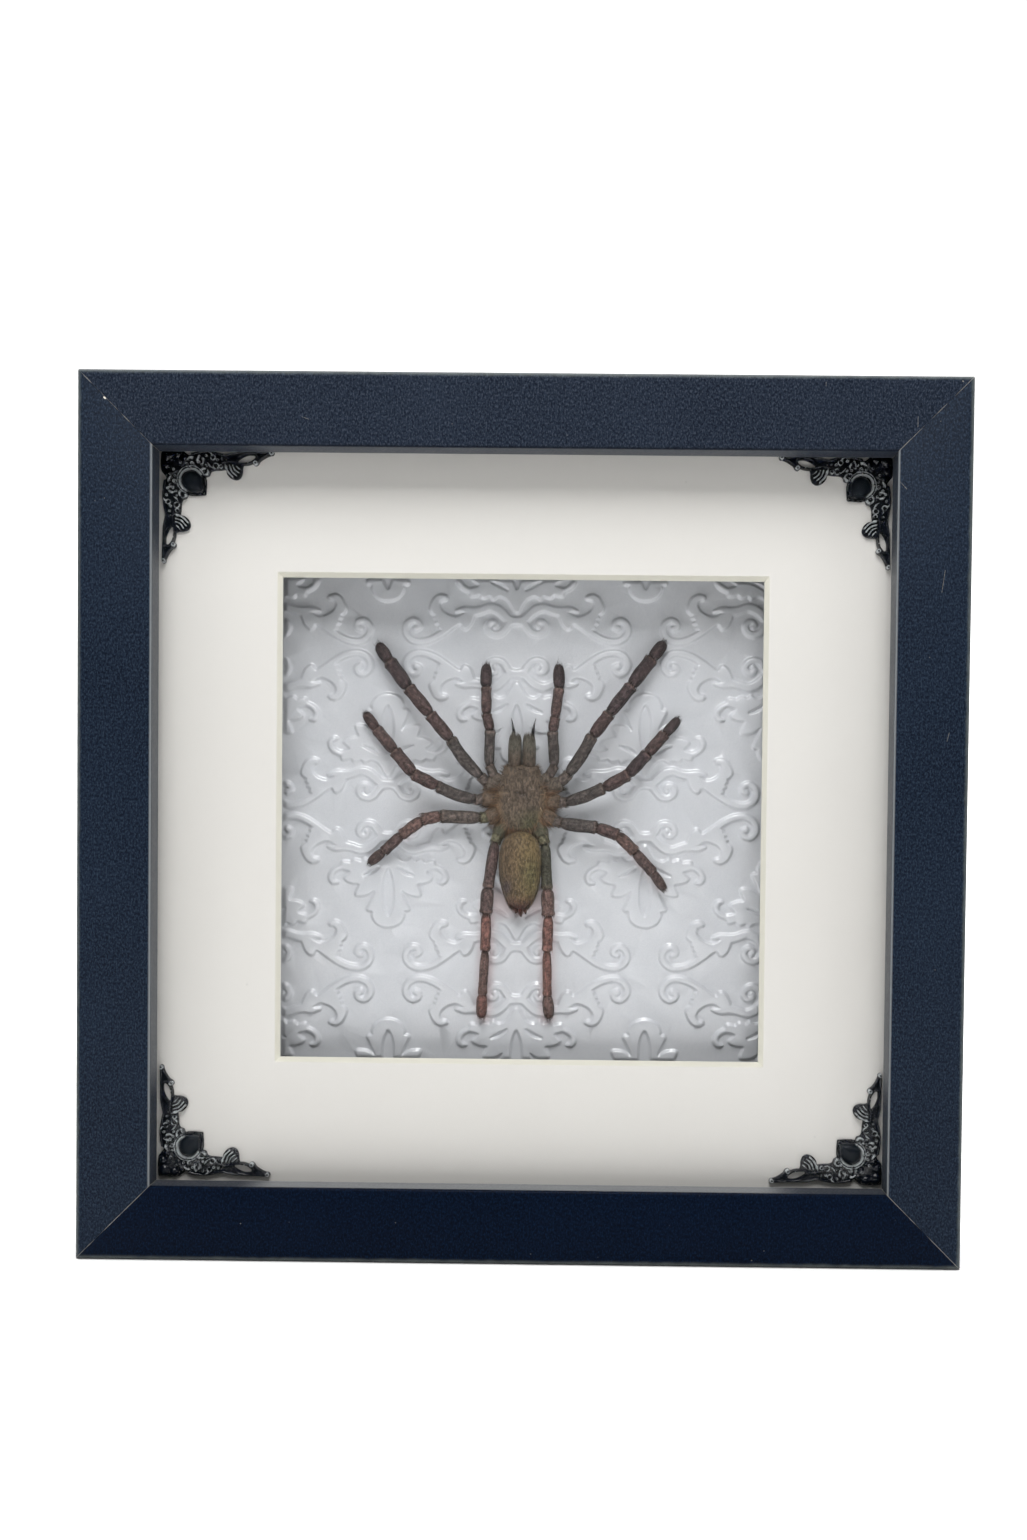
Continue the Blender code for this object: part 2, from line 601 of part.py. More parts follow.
front_body()
turned_body("abdomen", ABDOMEN_X, (ABDOMEN_REAR, ABDOMEN_FRONT), ABDOMEN_LIFT, ABDOMEN_HALF, ABDOMEN_SKIN,
            lambda share: egg(1 - share), 20, 12)
spinnerets()
for jaw_side, jaw_x in CHELICERAE.items():
    chelicera(jaw_side, jaw_x)
for limb_name, limb_joints in LEG_JOINTS.items():
    limb(limb_name, limb_joints, LEG_RADII[limb_name[:5]], LEG_SKIN)
for limb_name, limb_joints in PALP_JOINTS.items():
    limb(limb_name, limb_joints, PALP_RADII, LEG_SKIN)
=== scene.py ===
# %% [markdown]
# # A tarantula in a shadow box
#
# A dried, spread tarantula lies in a deep square box behind a white mat with a bevelled window. The
# paper behind it is embossed with a damask, and each corner of the mat carries a black casting.
#
# A plain solid model of the box and the spider comes first. It sits in one frame that never moves:
# the box faces -Y, it stands on its bottom rail at z = 0, and x = 0 is its middle. Every piece below
# is built round those solids, in the same place and at the same size.

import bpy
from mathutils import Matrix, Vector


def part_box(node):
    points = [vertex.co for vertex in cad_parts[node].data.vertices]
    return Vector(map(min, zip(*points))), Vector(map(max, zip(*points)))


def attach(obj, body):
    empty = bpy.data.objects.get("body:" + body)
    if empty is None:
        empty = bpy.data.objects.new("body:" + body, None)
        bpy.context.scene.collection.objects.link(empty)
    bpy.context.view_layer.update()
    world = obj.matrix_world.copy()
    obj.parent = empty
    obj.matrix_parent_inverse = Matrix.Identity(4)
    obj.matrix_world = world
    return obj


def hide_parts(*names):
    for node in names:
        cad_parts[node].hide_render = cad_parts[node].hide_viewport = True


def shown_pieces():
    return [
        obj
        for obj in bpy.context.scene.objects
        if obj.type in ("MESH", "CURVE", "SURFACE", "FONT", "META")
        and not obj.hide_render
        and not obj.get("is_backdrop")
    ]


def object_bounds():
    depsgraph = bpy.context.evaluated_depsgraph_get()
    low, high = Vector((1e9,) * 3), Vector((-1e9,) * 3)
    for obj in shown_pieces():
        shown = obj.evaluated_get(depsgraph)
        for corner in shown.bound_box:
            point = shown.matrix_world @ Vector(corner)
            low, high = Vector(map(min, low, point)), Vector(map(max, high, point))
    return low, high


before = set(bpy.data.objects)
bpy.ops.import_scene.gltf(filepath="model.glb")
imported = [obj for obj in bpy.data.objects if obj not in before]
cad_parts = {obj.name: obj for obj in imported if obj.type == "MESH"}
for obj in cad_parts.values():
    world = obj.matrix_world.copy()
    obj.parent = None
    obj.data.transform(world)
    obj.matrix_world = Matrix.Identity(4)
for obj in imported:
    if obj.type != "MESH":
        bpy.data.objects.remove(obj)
cad_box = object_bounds()
print("solids:", len(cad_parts), "box:", [[round(v, 4) for v in corner] for corner in cad_box])

# %% Tools and units
import math

import bmesh
import bpy
import numpy as np
from mathutils import Euler, Vector, noise

MM = 0.001
random = np.random.default_rng(11)


def middle_of(node):
    """A node's middle and its half size, in millimetres."""
    low, high = (np.array(corner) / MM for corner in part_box(node))
    return (low + high) / 2, (high - low) / 2


# %% [markdown]
# ## The camera
#
# A camera is three facts: where it stands, which way it looks and how wide it sees. They were found by
# fitting the corners of the frame and of the mat's window, whose real sizes are known. The picture is
# upright, so the field of view is tied to the picture's height, and a small shift keeps the sides of
# the box nearly upright, as in the photograph, without tilting the camera.

# %% Camera
CAMERA_AT = Vector((16.0, -431.0, 124.5))
CAMERA_TURN = (88.624, -0.613, 0.417)
FOCAL = 1466.5  # in pixels of a picture 1540 high
PICTURE_HEIGHT = 1540
SHIFT = (-54.0, 89.0)

camera = bpy.data.objects.new("camera", bpy.data.cameras.new("camera"))
bpy.context.scene.collection.objects.link(camera)
camera.location = CAMERA_AT * MM
camera.rotation_euler = Euler([math.radians(a) for a in CAMERA_TURN])
camera.data.sensor_fit = "VERTICAL"
camera.data.sensor_height = 36.0
camera.data.lens = FOCAL / PICTURE_HEIGHT * camera.data.sensor_height
camera.data.shift_x = SHIFT[0] / PICTURE_HEIGHT
camera.data.shift_y = SHIFT[1] / PICTURE_HEIGHT
camera.data.clip_start = 0.01
bpy.context.scene.camera = camera
print("lens", round(camera.data.lens, 2), "mm")

# %% [markdown]
# ## Light and floor
#
# The box was photographed on white. A soft lamp high in front of it shades the embossing, and the mat
# shadows the top of the paper. Two weak lamps at the sides give the rounded edges something pale to
# reflect, and a dim white world fills the rest. A wide lamp overhead, behind the box, whitens the
# floor and the backdrop without reaching the front. The floor is one sheet that curves up into the
# backdrop, which leaves no horizon. The Standard view keeps white paper white.

# %% Studio
WORLD_STRENGTH = 0.12
TOP_AT = Vector((0.0, -430.0, 690.0))
TOP_SIZE = 440.0
TOP_POWER = 5.0
SIDE_AT = Vector((640.0, -300.0, 170.0))
SIDE_SIZE = 420.0
SIDE_POWER = 0.8
OVERHEAD_AT = Vector((-60.0, 800.0, 1500.0))
OVERHEAD_AIM = Vector((-60.0, 1100.0, 0.0))
OVERHEAD_SIZE = 2000.0
OVERHEAD_POWER = 34.0
OVERHEAD_SPREAD = 100.0
BOX_AT = Vector((0.0, 0.0, 125.0))

scene = bpy.context.scene
scene.view_settings.view_transform = "Standard"
scene.world = bpy.data.worlds.new("studio")
scene.world.use_nodes = True
scene.world.node_tree.nodes["Background"].inputs["Color"].default_value = (1.0, 1.0, 1.0, 1.0)
scene.world.node_tree.nodes["Background"].inputs["Strength"].default_value = WORLD_STRENGTH


def lamp(name, place, size, power, aim, spread=180.0):
    """A square area lamp at a place in millimetres, turned towards aim."""
    made = bpy.data.objects.new(name, bpy.data.lights.new(name, "AREA"))
    scene.collection.objects.link(made)
    made.visible_camera = False
    made.data.size = size * MM
    made.data.energy = power
    made.data.spread = math.radians(spread)
    made.location = place * MM
    made.rotation_euler = (aim - place).to_track_quat("-Z", "Y").to_euler()


lamp("top_card", TOP_AT, TOP_SIZE, TOP_POWER, BOX_AT)
for sign, side in ((-1, "left"), (1, "right")):
    side_at = Vector((sign * SIDE_AT.x, SIDE_AT.y, SIDE_AT.z))
    lamp(f"{side}_card", side_at, SIDE_SIZE, SIDE_POWER, BOX_AT)
lamp("overhead", OVERHEAD_AT, OVERHEAD_SIZE, OVERHEAD_POWER, OVERHEAD_AIM, OVERHEAD_SPREAD)

# %% [markdown]
# ## A small language for materials
#
# A material's node tree is easier to read as a sum than as a drawing. `Wire` wraps a node's output,
# and Python's operators on it add Math nodes, so `1 - mask` becomes a Subtract node. `Finish` is one
# material. Its `node` method makes any node from its type, its settings and the values or wires of
# its sockets. Colours go through Mix nodes, because a Math node would turn them grey.

# %% Wires
class Wire:
    """A node's output. Arithmetic on it adds Math nodes."""

    def __init__(self, finish, socket):
        self.finish = finish
        self.socket = socket

    def math(self, operation, *values):
        return self.finish.node("Math", {"operation": operation}, values)

    def __add__(self, other):
        return self.math("ADD", self, other)

    def __sub__(self, other):
        return self.math("SUBTRACT", self, other)

    def __rsub__(self, other):
        return self.math("SUBTRACT", other, self)

    def __mul__(self, other):
        return self.math("MULTIPLY", self, other)

    def __truediv__(self, other):
        return self.math("DIVIDE", self, other)

    def __pow__(self, other):
        return self.math("POWER", self, other)

    def __abs__(self):
        return self.math("ABSOLUTE", self)

    def __and__(self, other):
        return self.math("MINIMUM", self, other)

    def __or__(self, other):
        return self.math("MAXIMUM", self, other)

    __radd__ = __add__
    __rmul__ = __mul__


# %% Finishes
SOCKET_TITLES = {"ior": "IOR", "specular": "Specular IOR Level"}


class Finish:
    """A material whose Principled shader takes constants from its sockets, the rest from wires."""

    def __init__(self, name, **sockets):
        self.material = bpy.data.materials.new(name)
        self.material.use_nodes = True
        self.tree = self.material.node_tree
        self.shader = self.tree.nodes["Principled BSDF"]
        self.set(**sockets)
        coordinates = self.node("TexCoord", output="Object")
        self.place = self.node("VectorMath", {"operation": "SCALE"}, {0: coordinates, "Scale": 1 / MM})

    def feed(self, socket, value):
        """Gives a socket a wire or a constant."""
        if isinstance(value, Wire):
            self.tree.links.new(value.socket, socket)
        else:
            socket.default_value = value

    def set(self, **sockets):
        """Sets the shader's sockets, named in small letters: base_color, roughness and so on."""
        for name, value in sockets.items():
            title = SOCKET_TITLES.get(name, name.replace("_", " ").title())
            self.feed(self.shader.inputs[title], value)

    def node(self, kind, settings=(), inputs=(), output=0):
        """Makes a shader node and returns one of its outputs."""
        made = self.tree.nodes.new("ShaderNode" + kind)
        for name, value in dict(settings).items():
            setattr(made, name, value)
        for key, value in inputs.items() if isinstance(inputs, dict) else enumerate(inputs):
            self.feed(made.inputs[key], value)
        return Wire(self, made.outputs[output])

    def axes(self):
        """The three coordinates in millimetres."""
        split = self.node("SeparateXYZ", (), [self.place])
        return [Wire(self, split.socket.node.outputs[i]) for i in range(3)]

    def noise(self, size, detail=3.0, stretch=(1.0, 1.0, 1.0)):
        """Noise with features of about size millimetres, longer where stretch is small."""
        place = self.node("VectorMath", {"operation": "MULTIPLY"}, [self.place, stretch])
        return self.node("TexNoise", (), {"Vector": place, "Scale": 1 / size, "Detail": detail})

    def cells(self, size):
        """The distance to the nearest of scattered points about size millimetres apart."""
        return self.node("TexVoronoi", (), {"Vector": self.place, "Scale": 1 / size}, "Distance")

    def step(self, value, low, high):
        """0 below low and 1 above high, with a soft step between them."""
        ends = {"Value": value, "From Min": low, "From Max": high}
        return self.node("MapRange", {"interpolation_type": "SMOOTHSTEP"}, ends)

    def within(self, value, low, high):
        """1 below low and 0 above high, with the same soft step."""
        return 1.0 - self.step(value, low, high)

    def mix(self, factor, first, second, blend="MIX"):
        """A colour between two colours."""
        colours = {0: factor, 6: first, 7: second}
        return self.node("Mix", {"data_type": "RGBA", "blend_type": blend}, colours, 2)

    def bump(self, height, strength=1.0):
        """Feeds a height in millimetres to the shader's normal."""
        made = self.node("Bump", (), {"Height": height, "Distance": MM, "Strength": strength})
        self.set(normal=made)


# %% [markdown]
# A colour is easiest to name as a screen shows it, and the shader wants it linear.

# %% Colours
def tone(red, green, blue, gain=1.0):
    """A colour as a screen shows it, 0 to 255, made linear for the shader."""
    linear = [gain * (v / 255 / 12.92 if v < 11 else ((v / 255 + 0.055) / 1.055) ** 2.4)
              for v in (red, green, blue)]
    return (*linear, 1.0)


print("middle grey 128 is", round(tone(128, 128, 128)[0], 3), "to the shader")

# %% [markdown]
# ## Pieces
#
# Each finished piece is a mesh with its own materials. `piece` puts it in the scene, ties it to the
# body that it moves with, and hides the plain solids that it stands for. `mesh_of` makes the mesh
# from points in millimetres.

# %% Pieces and meshes
def mesh_of(name, points, faces, smooth=True):
    """A mesh from points in millimetres and faces that number them."""
    mesh = bpy.data.meshes.new(name)
    mesh.from_pydata(np.asarray(points) * MM, [], faces)
    mesh.validate()
    mesh.shade_smooth() if smooth else mesh.shade_flat()
    return mesh


def faced_outward(mesh):
    """Turns every face of a closed mesh outwards."""
    shape = bmesh.new()
    shape.from_mesh(mesh)
    bmesh.ops.recalc_face_normals(shape, faces=shape.faces)
    shape.to_mesh(mesh)
    shape.free()
    return mesh


def piece(name, mesh, finishes, slot, *nodes):
    """Puts a mesh in the scene, with its finishes and the solids that it stands for; slot is not used."""
    made = bpy.data.objects.new(name, mesh)
    scene.collection.objects.link(made)
    for finish in finishes:
        mesh.materials.append(finish.material)
    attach(made, "root")
    if nodes:
        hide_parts(*nodes)
    print(f"{name}: {len(mesh.vertices)} points, {len(mesh.polygons)} faces")
    return made


def modified(made, kind, **settings):
    """Adds a modifier and applies it, so the object is left with a plain mesh."""
    step = made.modifiers.new(kind.lower(), kind)
    for name, value in settings.items():
        setattr(step, name, value)
    graph = bpy.context.evaluated_depsgraph_get()
    finished = bpy.data.meshes.new_from_object(made.evaluated_get(graph))
    made.modifiers.clear()
    made.data = finished


# %% [markdown]
# The floor is drawn as one side view, a flat run, a quarter circle and a wall, and is pulled out
# sideways.

# %% Floor
FLOOR_REACH, FLOOR_BACK, FLOOR_CURVE = 2.4, 0.9, 0.6  # in metres
CURVE_STEPS = 16
floor_white = Finish("floor_white", roughness=0.9, specular=0.1)
speckle = floor_white.noise(40.0, 2.0)
pale, paler = (0.93, 0.93, 0.93, 1.0), (0.96, 0.96, 0.96, 1.0)
floor_white.set(base_color=floor_white.mix(speckle, pale, paler))

side_view = [(-FLOOR_REACH, 0.0), (FLOOR_BACK, 0.0)]
for i in range(1, CURVE_STEPS + 1):
    a = math.pi / 2 * i / CURVE_STEPS
    side_view.append((FLOOR_BACK + FLOOR_CURVE * math.sin(a), FLOOR_CURVE * (1 - math.cos(a))))
side_view.append((FLOOR_BACK + FLOOR_CURVE, FLOOR_REACH))
points = [(x / MM, y / MM, z / MM) for y, z in side_view for x in (-FLOOR_REACH, FLOOR_REACH)]
faces = [(2 * i, 2 * i + 1, 2 * i + 3, 2 * i + 2) for i in range(len(side_view) - 1)]
floor = bpy.data.objects.new("floor", mesh_of("floor", points, faces))
floor.data.materials.append(floor_white.material)
scene.collection.objects.link(floor)
floor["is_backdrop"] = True
print("floor:", len(faces), "strips")

# %% [markdown]
# ## The frame's finish
#
# The rails are wood wrapped in a dark foil. The foil isn't one flat colour: close up it is mottled, a
# little rough, and bluer in the light. Where the rails meet, the cut edge of the foil is worn through
# to a pale line, and near one corner a chip shows the filler. Light and shade are painted into the
# foil too: the bottom rail is painted the darkest, the lip's inner walls carry a painted grey
# reflection, and highlights and shade are painted along the edges. All of that is colour and fine
# bump, so it is worked out from the position on the frame. The distance to a mitre is how far |x| is
# from |z| when both are measured from the middle of the frame.

# %% Measures of the frame
RAIL_FACE = 21.1
RAIL_DEPTH = middle_of("frame_rail_top")[1][1] * 2
LIP_DEPTH = 8.0
frame_low, frame_high = (np.array(corner) / MM for corner in cad_box)
SIDE = frame_high[2] - frame_low[2]
FRAME_MIDDLE = SIDE / 2
FRONT = frame_low[1]
print("frame:", round(SIDE, 1), "mm square and", round(RAIL_DEPTH, 1), "mm deep, front at", round(FRONT, 1))


def near_segment(x, z, start, end):
    """The distance from (x, z) to a straight line between two points."""
    run, rise = end[0] - start[0], end[1] - start[1]
    along = ((x - start[0]) * run + (z - start[1]) * rise) / (run * run + rise * rise)
    along = (along | 0.0) & 1.0
    across = (x - start[0]) - along * run
    up = (z - start[1]) - along * rise
    return (across * across + up * up) ** 0.5


# %% [markdown]
# One function makes the foil of any rail. It lays the mottled grain down first, then painted light
# and shade: a grey reflection on the lip's wall that fades to shade at the corners, a highlight along
# the rounded outer edge, and on the inner arris a highlight on the sides and shade on the top. A pale
# line is painted at the back of the lip, and last comes what is worn through: the mitres, chips,
# scratches and specks.

# %% Foil
RAIL_TONES = (13, 21, 34), (53, 63, 78), (82, 91, 104)  # dark, bright and in the flecks
# The lip's wall takes a painted grey reflection in this tone.
WALL_REFLECTION_TONE = tone(114, 116, 118)
# The first tone is a highlight painted on the rounded outer edge, the second a pale line painted at the back
# of the lip, the third the bare filler where the foil is worn through.
OUTER_HIGHLIGHT, REAR_PALE_LINE, BARE = tone(112, 118, 114), tone(142, 147, 150), tone(205, 200, 190)
# A painted highlight and a painted shade for the inner arris.
PALE_ARRIS_HIGHLIGHT, DARK_ARRIS_SHADE = tone(150, 154, 156), tone(14, 18, 27)
CHIPS = (((-117.2, 241.8), 0.45), ((-117.9, 241.6), 0.2), ((121.2, 248.3), 0.2), ((110.6, 248.4), 0.15))
SCRATCHES = (((109.0, 238.4), (109.0, 235.5)), ((104.4, 220.3), (106.2, 218.4)),
             ((117.2, 196.0), (116.4, 190.0)), ((119.1, 151.0), (118.5, 148.6)),
             ((83.4, 247.6), (83.4, 246.6)), ((-62.0, 236.8), (-60.1, 236.2)))


def foil(name, light_and_shade_gains, wall_reflection_share, arris_light_share, arris_light_tone):
    """The foil of one rail, with its painted light and shade: its colour's gains, the share of painted grey
    reflection on its wall, and the share and tone painted on its inner arris.
    """
    made = Finish(name, specular=0.05)
    x, y, z = made.axes()
    mottle = made.step(made.noise(0.75, 5.0), 0.34, 0.68)
    grain = made.noise(0.42, 4.0, (1.0, 1.0, 0.55))
    drift = made.noise(30.0, 3.0)
    dark, bright, fleck = ((*(a * b for a, b in zip(tone(*shade), light_and_shade_gains)), 1.0)
                           for shade in RAIL_TONES)
    shade = made.mix(mottle * 0.6 + drift * 0.4, dark, bright)
    shade = made.mix(made.step(grain, 0.48, 0.66) * 0.6, shade, fleck)

    inward = SIDE / 2 - (abs(x) | abs(z - FRAME_MIDDLE))
    from_edge = (y - FRONT) & (FRONT + RAIL_DEPTH - y)
    # A highlight is painted along the rounded outer edge.
    outer_highlight = made.within((inward | from_edge) + made.noise(4.0, 2.0) * 0.8, 0.2, 2.2)
    # Light is painted on the inner arris: a highlight on the sides, shade on the top.
    inner_arris_light = made.within(abs(inward - RAIL_FACE) + (y - FRONT) * 0.5, 0.14, 0.6)
    # A pale line is painted along the back edge of the lip.
    rear_pale_line = made.within(abs(inward - RAIL_FACE) + abs(y - FRONT - LIP_DEPTH), 0.2, 0.6)
    # The lip's wall gets a painted grey reflection, faded to painted shade near the corners.
    wall = made.step(inward, RAIL_FACE - 0.2, RAIL_FACE - 0.05) * made.step(y - FRONT, 0.8, 1.6)
    along = abs(x) & abs(z - FRAME_MIDDLE)
    wall = wall * (1.0 - made.step(along, 68.0, 80.0) * 0.75)
    shade = made.mix(wall * wall_reflection_share, shade, WALL_REFLECTION_TONE)
    shade = made.mix(outer_highlight * 0.7, shade, OUTER_HIGHLIGHT)
    shade = made.mix(inner_arris_light * arris_light_share, shade, arris_light_tone)
    shade = made.mix(rear_pale_line * 0.5, shade, REAR_PALE_LINE)

    mitre = abs(abs(x) - abs(z - FRAME_MIDDLE)) * math.sqrt(0.5)
    wander = made.noise(2.6, 3.0) * 0.10
    line = made.within(mitre + wander, 0.09, 0.19) * made.step(made.noise(5.0, 2.0), 0.34, 0.55)
    worn = line * 0.42
    for centre, radius in CHIPS:
        off = near_segment(x, z, centre, (centre[0] + 0.4, centre[1] - 0.3))
        worn = worn | made.within(off + made.noise(0.8, 2.0) * 0.8, radius, radius + 0.25)
    for start, end in SCRATCHES:
        off = near_segment(x, z, start, end)
        worn = worn | (made.within(off + made.noise(0.6, 2.0) * 0.25, 0.12, 0.26) * 0.2)
    speck = made.step(made.cells(3.1), 0.08, 0.04) * made.step(made.noise(7.0, 2.0), 0.58, 0.68)
    worn = worn | (speck * 0.16)
    made.set(base_color=made.mix(worn, shade, BARE))
    made.set(roughness=0.36 + mottle * 0.14 + worn * 0.3)
    made.bump(made.noise(0.55, 4.0) * 0.05 + mottle * 0.02 - worn * 0.04, 0.8)
    return made


# %% [markdown]
# Each rail has its own painted light and shade: the top foil is painted lighter, the bottom one
# darkest and bluest, the sides between, and the painted grey of the wall and the painted tone of the
# inner arris change with them. The sides share one foil, and the top and the bottom have their own.

# %% Foil of each rail
# The gains paint each rail's light and shade into its colour: the top lit, the bottom in shade.
foil_finishes = {"top": foil("navy_foil_top_lit", (0.62, 0.63, 0.66), wall_reflection_share=0.37, arris_light_share=0.8,
                             arris_light_tone=DARK_ARRIS_SHADE),
                 "bottom": foil("navy_foil_bottom_shaded", (0.03, 0.11, 0.23), wall_reflection_share=0.95, arris_light_share=0.0,
                                arris_light_tone=DARK_ARRIS_SHADE)}
navy_sides = foil("navy_foil_sides_half_lit", (0.35, 0.43, 0.51), wall_reflection_share=0.65, arris_light_share=0.8,
                  arris_light_tone=PALE_ARRIS_HIGHLIGHT)
foil_finishes["left"] = foil_finishes["right"] = navy_sides
print("foil nodes:", {side: len(made.tree.nodes) for side, made in foil_finishes.items()})

# %% [markdown]
# ## The four rails
#
# A frame moulding is one section swept along a straight line and cut at 45 degrees. So the section is
# drawn once, as (distance in from the outer edge, depth from the front), and each rail is that
# section at its two mitres. The rounded outer edge and the softer inner lip are arcs, because those
# are the lines that catch the light. A narrow Bevel on the mitred ends leaves the fine groove
# that a real joint has.

# %% Rails
RAIL_WALL = 14.0
OUTER_ARRIS, INNER_ARRIS, REAR_ARRIS = 2.0, 0.7, 0.6
MITRE_GAP, MITRE_BEVEL = 0.05, 0.12
SECTION = ((0, RAIL_DEPTH, REAR_ARRIS), (0, 0, OUTER_ARRIS), (RAIL_FACE, 0, INNER_ARRIS),
           (RAIL_FACE, LIP_DEPTH, 0.25), (RAIL_WALL, LIP_DEPTH, 0.2), (RAIL_WALL, RAIL_DEPTH, REAR_ARRIS))


def rounded(corners, steps):
    """An outline whose corners, given as (u, v, radius), are turned into arcs."""
    outline = []
    for i, (u, v, radius) in enumerate(corners):
        here = Vector((u, v))
        before = (Vector(corners[i - 1][:2]) - here).normalized()
        after = (Vector(corners[(i + 1) % len(corners)][:2]) - here).normalized()
        for k in range(steps + 1):
            a = math.pi / 2 * k / steps
            outline.append(here + radius * (before * (1 - math.sin(a)) + after * (1 - math.cos(a))))
    return outline


def rail(side, quarter):
    """One rail, drawn at the bottom of the frame and turned there by quarters."""
    ring = rounded(SECTION, 7)
    points = []
    for end in (-1, 1):
        for u, depth in ring:
            dx, dz = end * (SIDE / 2 - u - MITRE_GAP), u - SIDE / 2
            for _ in range(quarter):
                dx, dz = -dz, dx
            points.append((dx, FRONT + depth, FRAME_MIDDLE + dz))
    count = len(ring)
    faces = [tuple(range(count)), tuple(reversed(range(count, 2 * count)))]
    faces += [(i, count + i, count + (i + 1) % count, (i + 1) % count) for i in range(count)]
    mesh = faced_outward(mesh_of(f"rail_{side}", points, faces))
    made = piece(f"rail_{side}", mesh, [foil_finishes[side]], "rail_finish", f"frame_rail_{side}")
    modified(made, "BEVEL", width=MITRE_BEVEL * MM, segments=2, limit_method="ANGLE",
             angle_limit=math.radians(50))
    made.data.shade_smooth()
    made.data.set_sharp_from_angle(angle=math.radians(30))


for quarter, side in enumerate(("bottom", "right", "top", "left")):
    rail(side, quarter)

# %% [markdown]
# ## Curves and reliefs
#
# Two things here are reliefs, shapes that rise from a flat ground: the damask in the paper and the
# castings. Both are drawn with the same two marks. A stroke is a curve with a radius at each of its
# points, and a patch is a closed outline. For any point of the ground it is easy to work out the
# signed distance to such a mark, which is negative inside it. The relief is then a height read
# from that distance, and marks join where they overlap, because the least distance wins.

# %% Signed distances
def curve_through(points, steps=6, closed=False):
    """A smooth curve through points of any number of values, so radii are carried along too."""
    points = [np.array(p, float) for p in points]
    count = len(points)
    curve = []
    for i in range(count if closed else count - 1):
        if closed:
            a, b, c, d = (points[(i + k) % count] for k in (-1, 0, 1, 2))
        else:
            b, c = points[i], points[i + 1]
            a = points[i - 1] if i else 2 * b - c
            d = points[i + 2] if i + 2 < count else 2 * c - b
        for k in range(steps):
            t = k / steps
            curve.append(0.5 * (2 * b + (c - a) * t + (2 * a - 5 * b + 4 * c - d) * t ** 2
                                + (3 * b - a - 3 * c + d) * t ** 3))
    curve.append(curve[0] if closed else points[-1])
    return np.array(curve)


def from_segments(x, z, curve):
    """The distance to a chain of segments, less the radius that its points carry, if they do."""
    best = np.full(x.shape, 1e9)
    for start, end in zip(curve, curve[1:]):
        run = end[:2] - start[:2]
        along = ((x - start[0]) * run[0] + (z - start[1]) * run[1]) / max(run @ run, 1e-12)
        along = np.clip(along, 0.0, 1.0)
        off = np.hypot(x - start[0] - along * run[0], z - start[1] - along * run[1])
        radius = start[2] + along * (end[2] - start[2]) if len(start) > 2 else 0.0
        best = np.minimum(best, off - radius)
    return best


def stroke(x, z, *points):
    """The signed distance to a curve as thick as the radius at each of its points."""
    return from_segments(x, z, curve_through(points))


def patch(x, z, *points, steps=5):
    """The signed distance to a closed, smoothed outline."""
    curve = curve_through(points, steps, closed=True)
    off = from_segments(x, z, curve)
    inside = np.zeros(x.shape, bool)
    for start, end in zip(curve, curve[1:]):
        crosses = (start[1] > z) != (end[1] > z)
        rise = end[1] - start[1]
        at = start[0] + (z - start[1]) * (end[0] - start[0]) / (rise if rise else 1e-12)
        inside ^= crosses & (x < at)
    return np.where(inside, -off, off)


def soft_step(value):
    """Eases from 0 to 1, like the shader's soft step, on numbers."""
    value = np.clip(value, 0.0, 1.0)
    return value * value * (3 - 2 * value)


dot = stroke(np.array([0.0, 3.0]), np.zeros(2), (0.0, 0.0, 1.0), (0.1, 0.0, 1.0))
print("distances to a dot of radius 1, from its middle and from 3 away:", dot.round(2))

# %% [markdown]
# ## The damask
#
# The paper's pattern repeats by mirrors: down the middle of each column of motifs, and across each of
# its knots, with the neighbouring column dropped by half. So only one quarter of one motif has to be
# drawn: half of the knot's bar with its volute, an acanthus leaf, a long arm that ends in a scroll,
# and half of a palmette. Folding a point of the paper back into that quarter gives the whole sheet.

# %% One quarter of the motif
COLUMN = 38.71  # from one column of knots to the next
DROP = 49.05  # from one column's knot to the next column's
PATTERN_AT = (-2.61, 177.28)  # one of the knots
PATTERN_TILT = 0.0083  # how far the sheet lies out of square, in radians
EMBOSS = 0.92
EMBOSS_EDGE = 0.95

BAR_AND_BRACKET = ((0, 8.0, 1.2), (2.2, 8.3, 1.2), (4.0, 9.9, 1.25), (6.0, 11.4, 1.3), (8.3, 11.9, 1.2),
                   (10.8, 11.1, 1.2), (13.2, 10.7, 1.3), (15.8, 11.2, 0.95), (18.0, 10.9, 0.4))
VOLUTE = ((0, 7.9, 1.2), (2.0, 7.4, 1.1), (3.2, 5.9, 1.0), (4.5, 4.4, 1.0), (6.3, 3.9, 1.0),
          (8.1, 4.6, 0.95), (8.8, 6.2, 0.9), (8.0, 7.5, 0.85), (6.7, 7.6, 0.8), (6.0, 6.7, 0.75),
          (6.5, 6.0, 0.8))
LONG_ARM = ((17.4, 8.2, 1.3), (19.4, 6.6, 1.1), (21.8, 4.7, 1.0), (24.4, 3.0, 0.97), (27.2, 1.9, 0.97),
            (30.0, 1.7, 0.95), (32.2, 2.7, 0.95), (33.4, 4.7, 0.9), (33.0, 6.8, 0.9), (31.4, 8.0, 0.88),
            (29.7, 7.5, 0.85), (29.3, 6.2, 0.85), (30.4, 5.6, 0.9))
LEAF = ((12.6, 10.2), (13.2, 7.6), (14.0, 6.2), (15.2, 5.3), (16.3, 5.5), (16.9, 6.6), (18.7, 6.3),
        (20.7, 4.9), (22.6, 5.0), (23.7, 5.7), (23.5, 6.5), (24.5, 7.2), (24.1, 8.0), (24.9, 8.7),
        (24.7, 9.5), (25.7, 10.2), (26.3, 11.4), (25.8, 13.2), (24.7, 15.0), (23.0, 15.9), (21.3, 15.6),
        (20.7, 14.9), (21.2, 14.2), (22.3, 14.0), (23.0, 13.0), (22.6, 11.5), (21.2, 10.2), (19.2, 9.4),
        (17.6, 9.4), (15.8, 10.4))
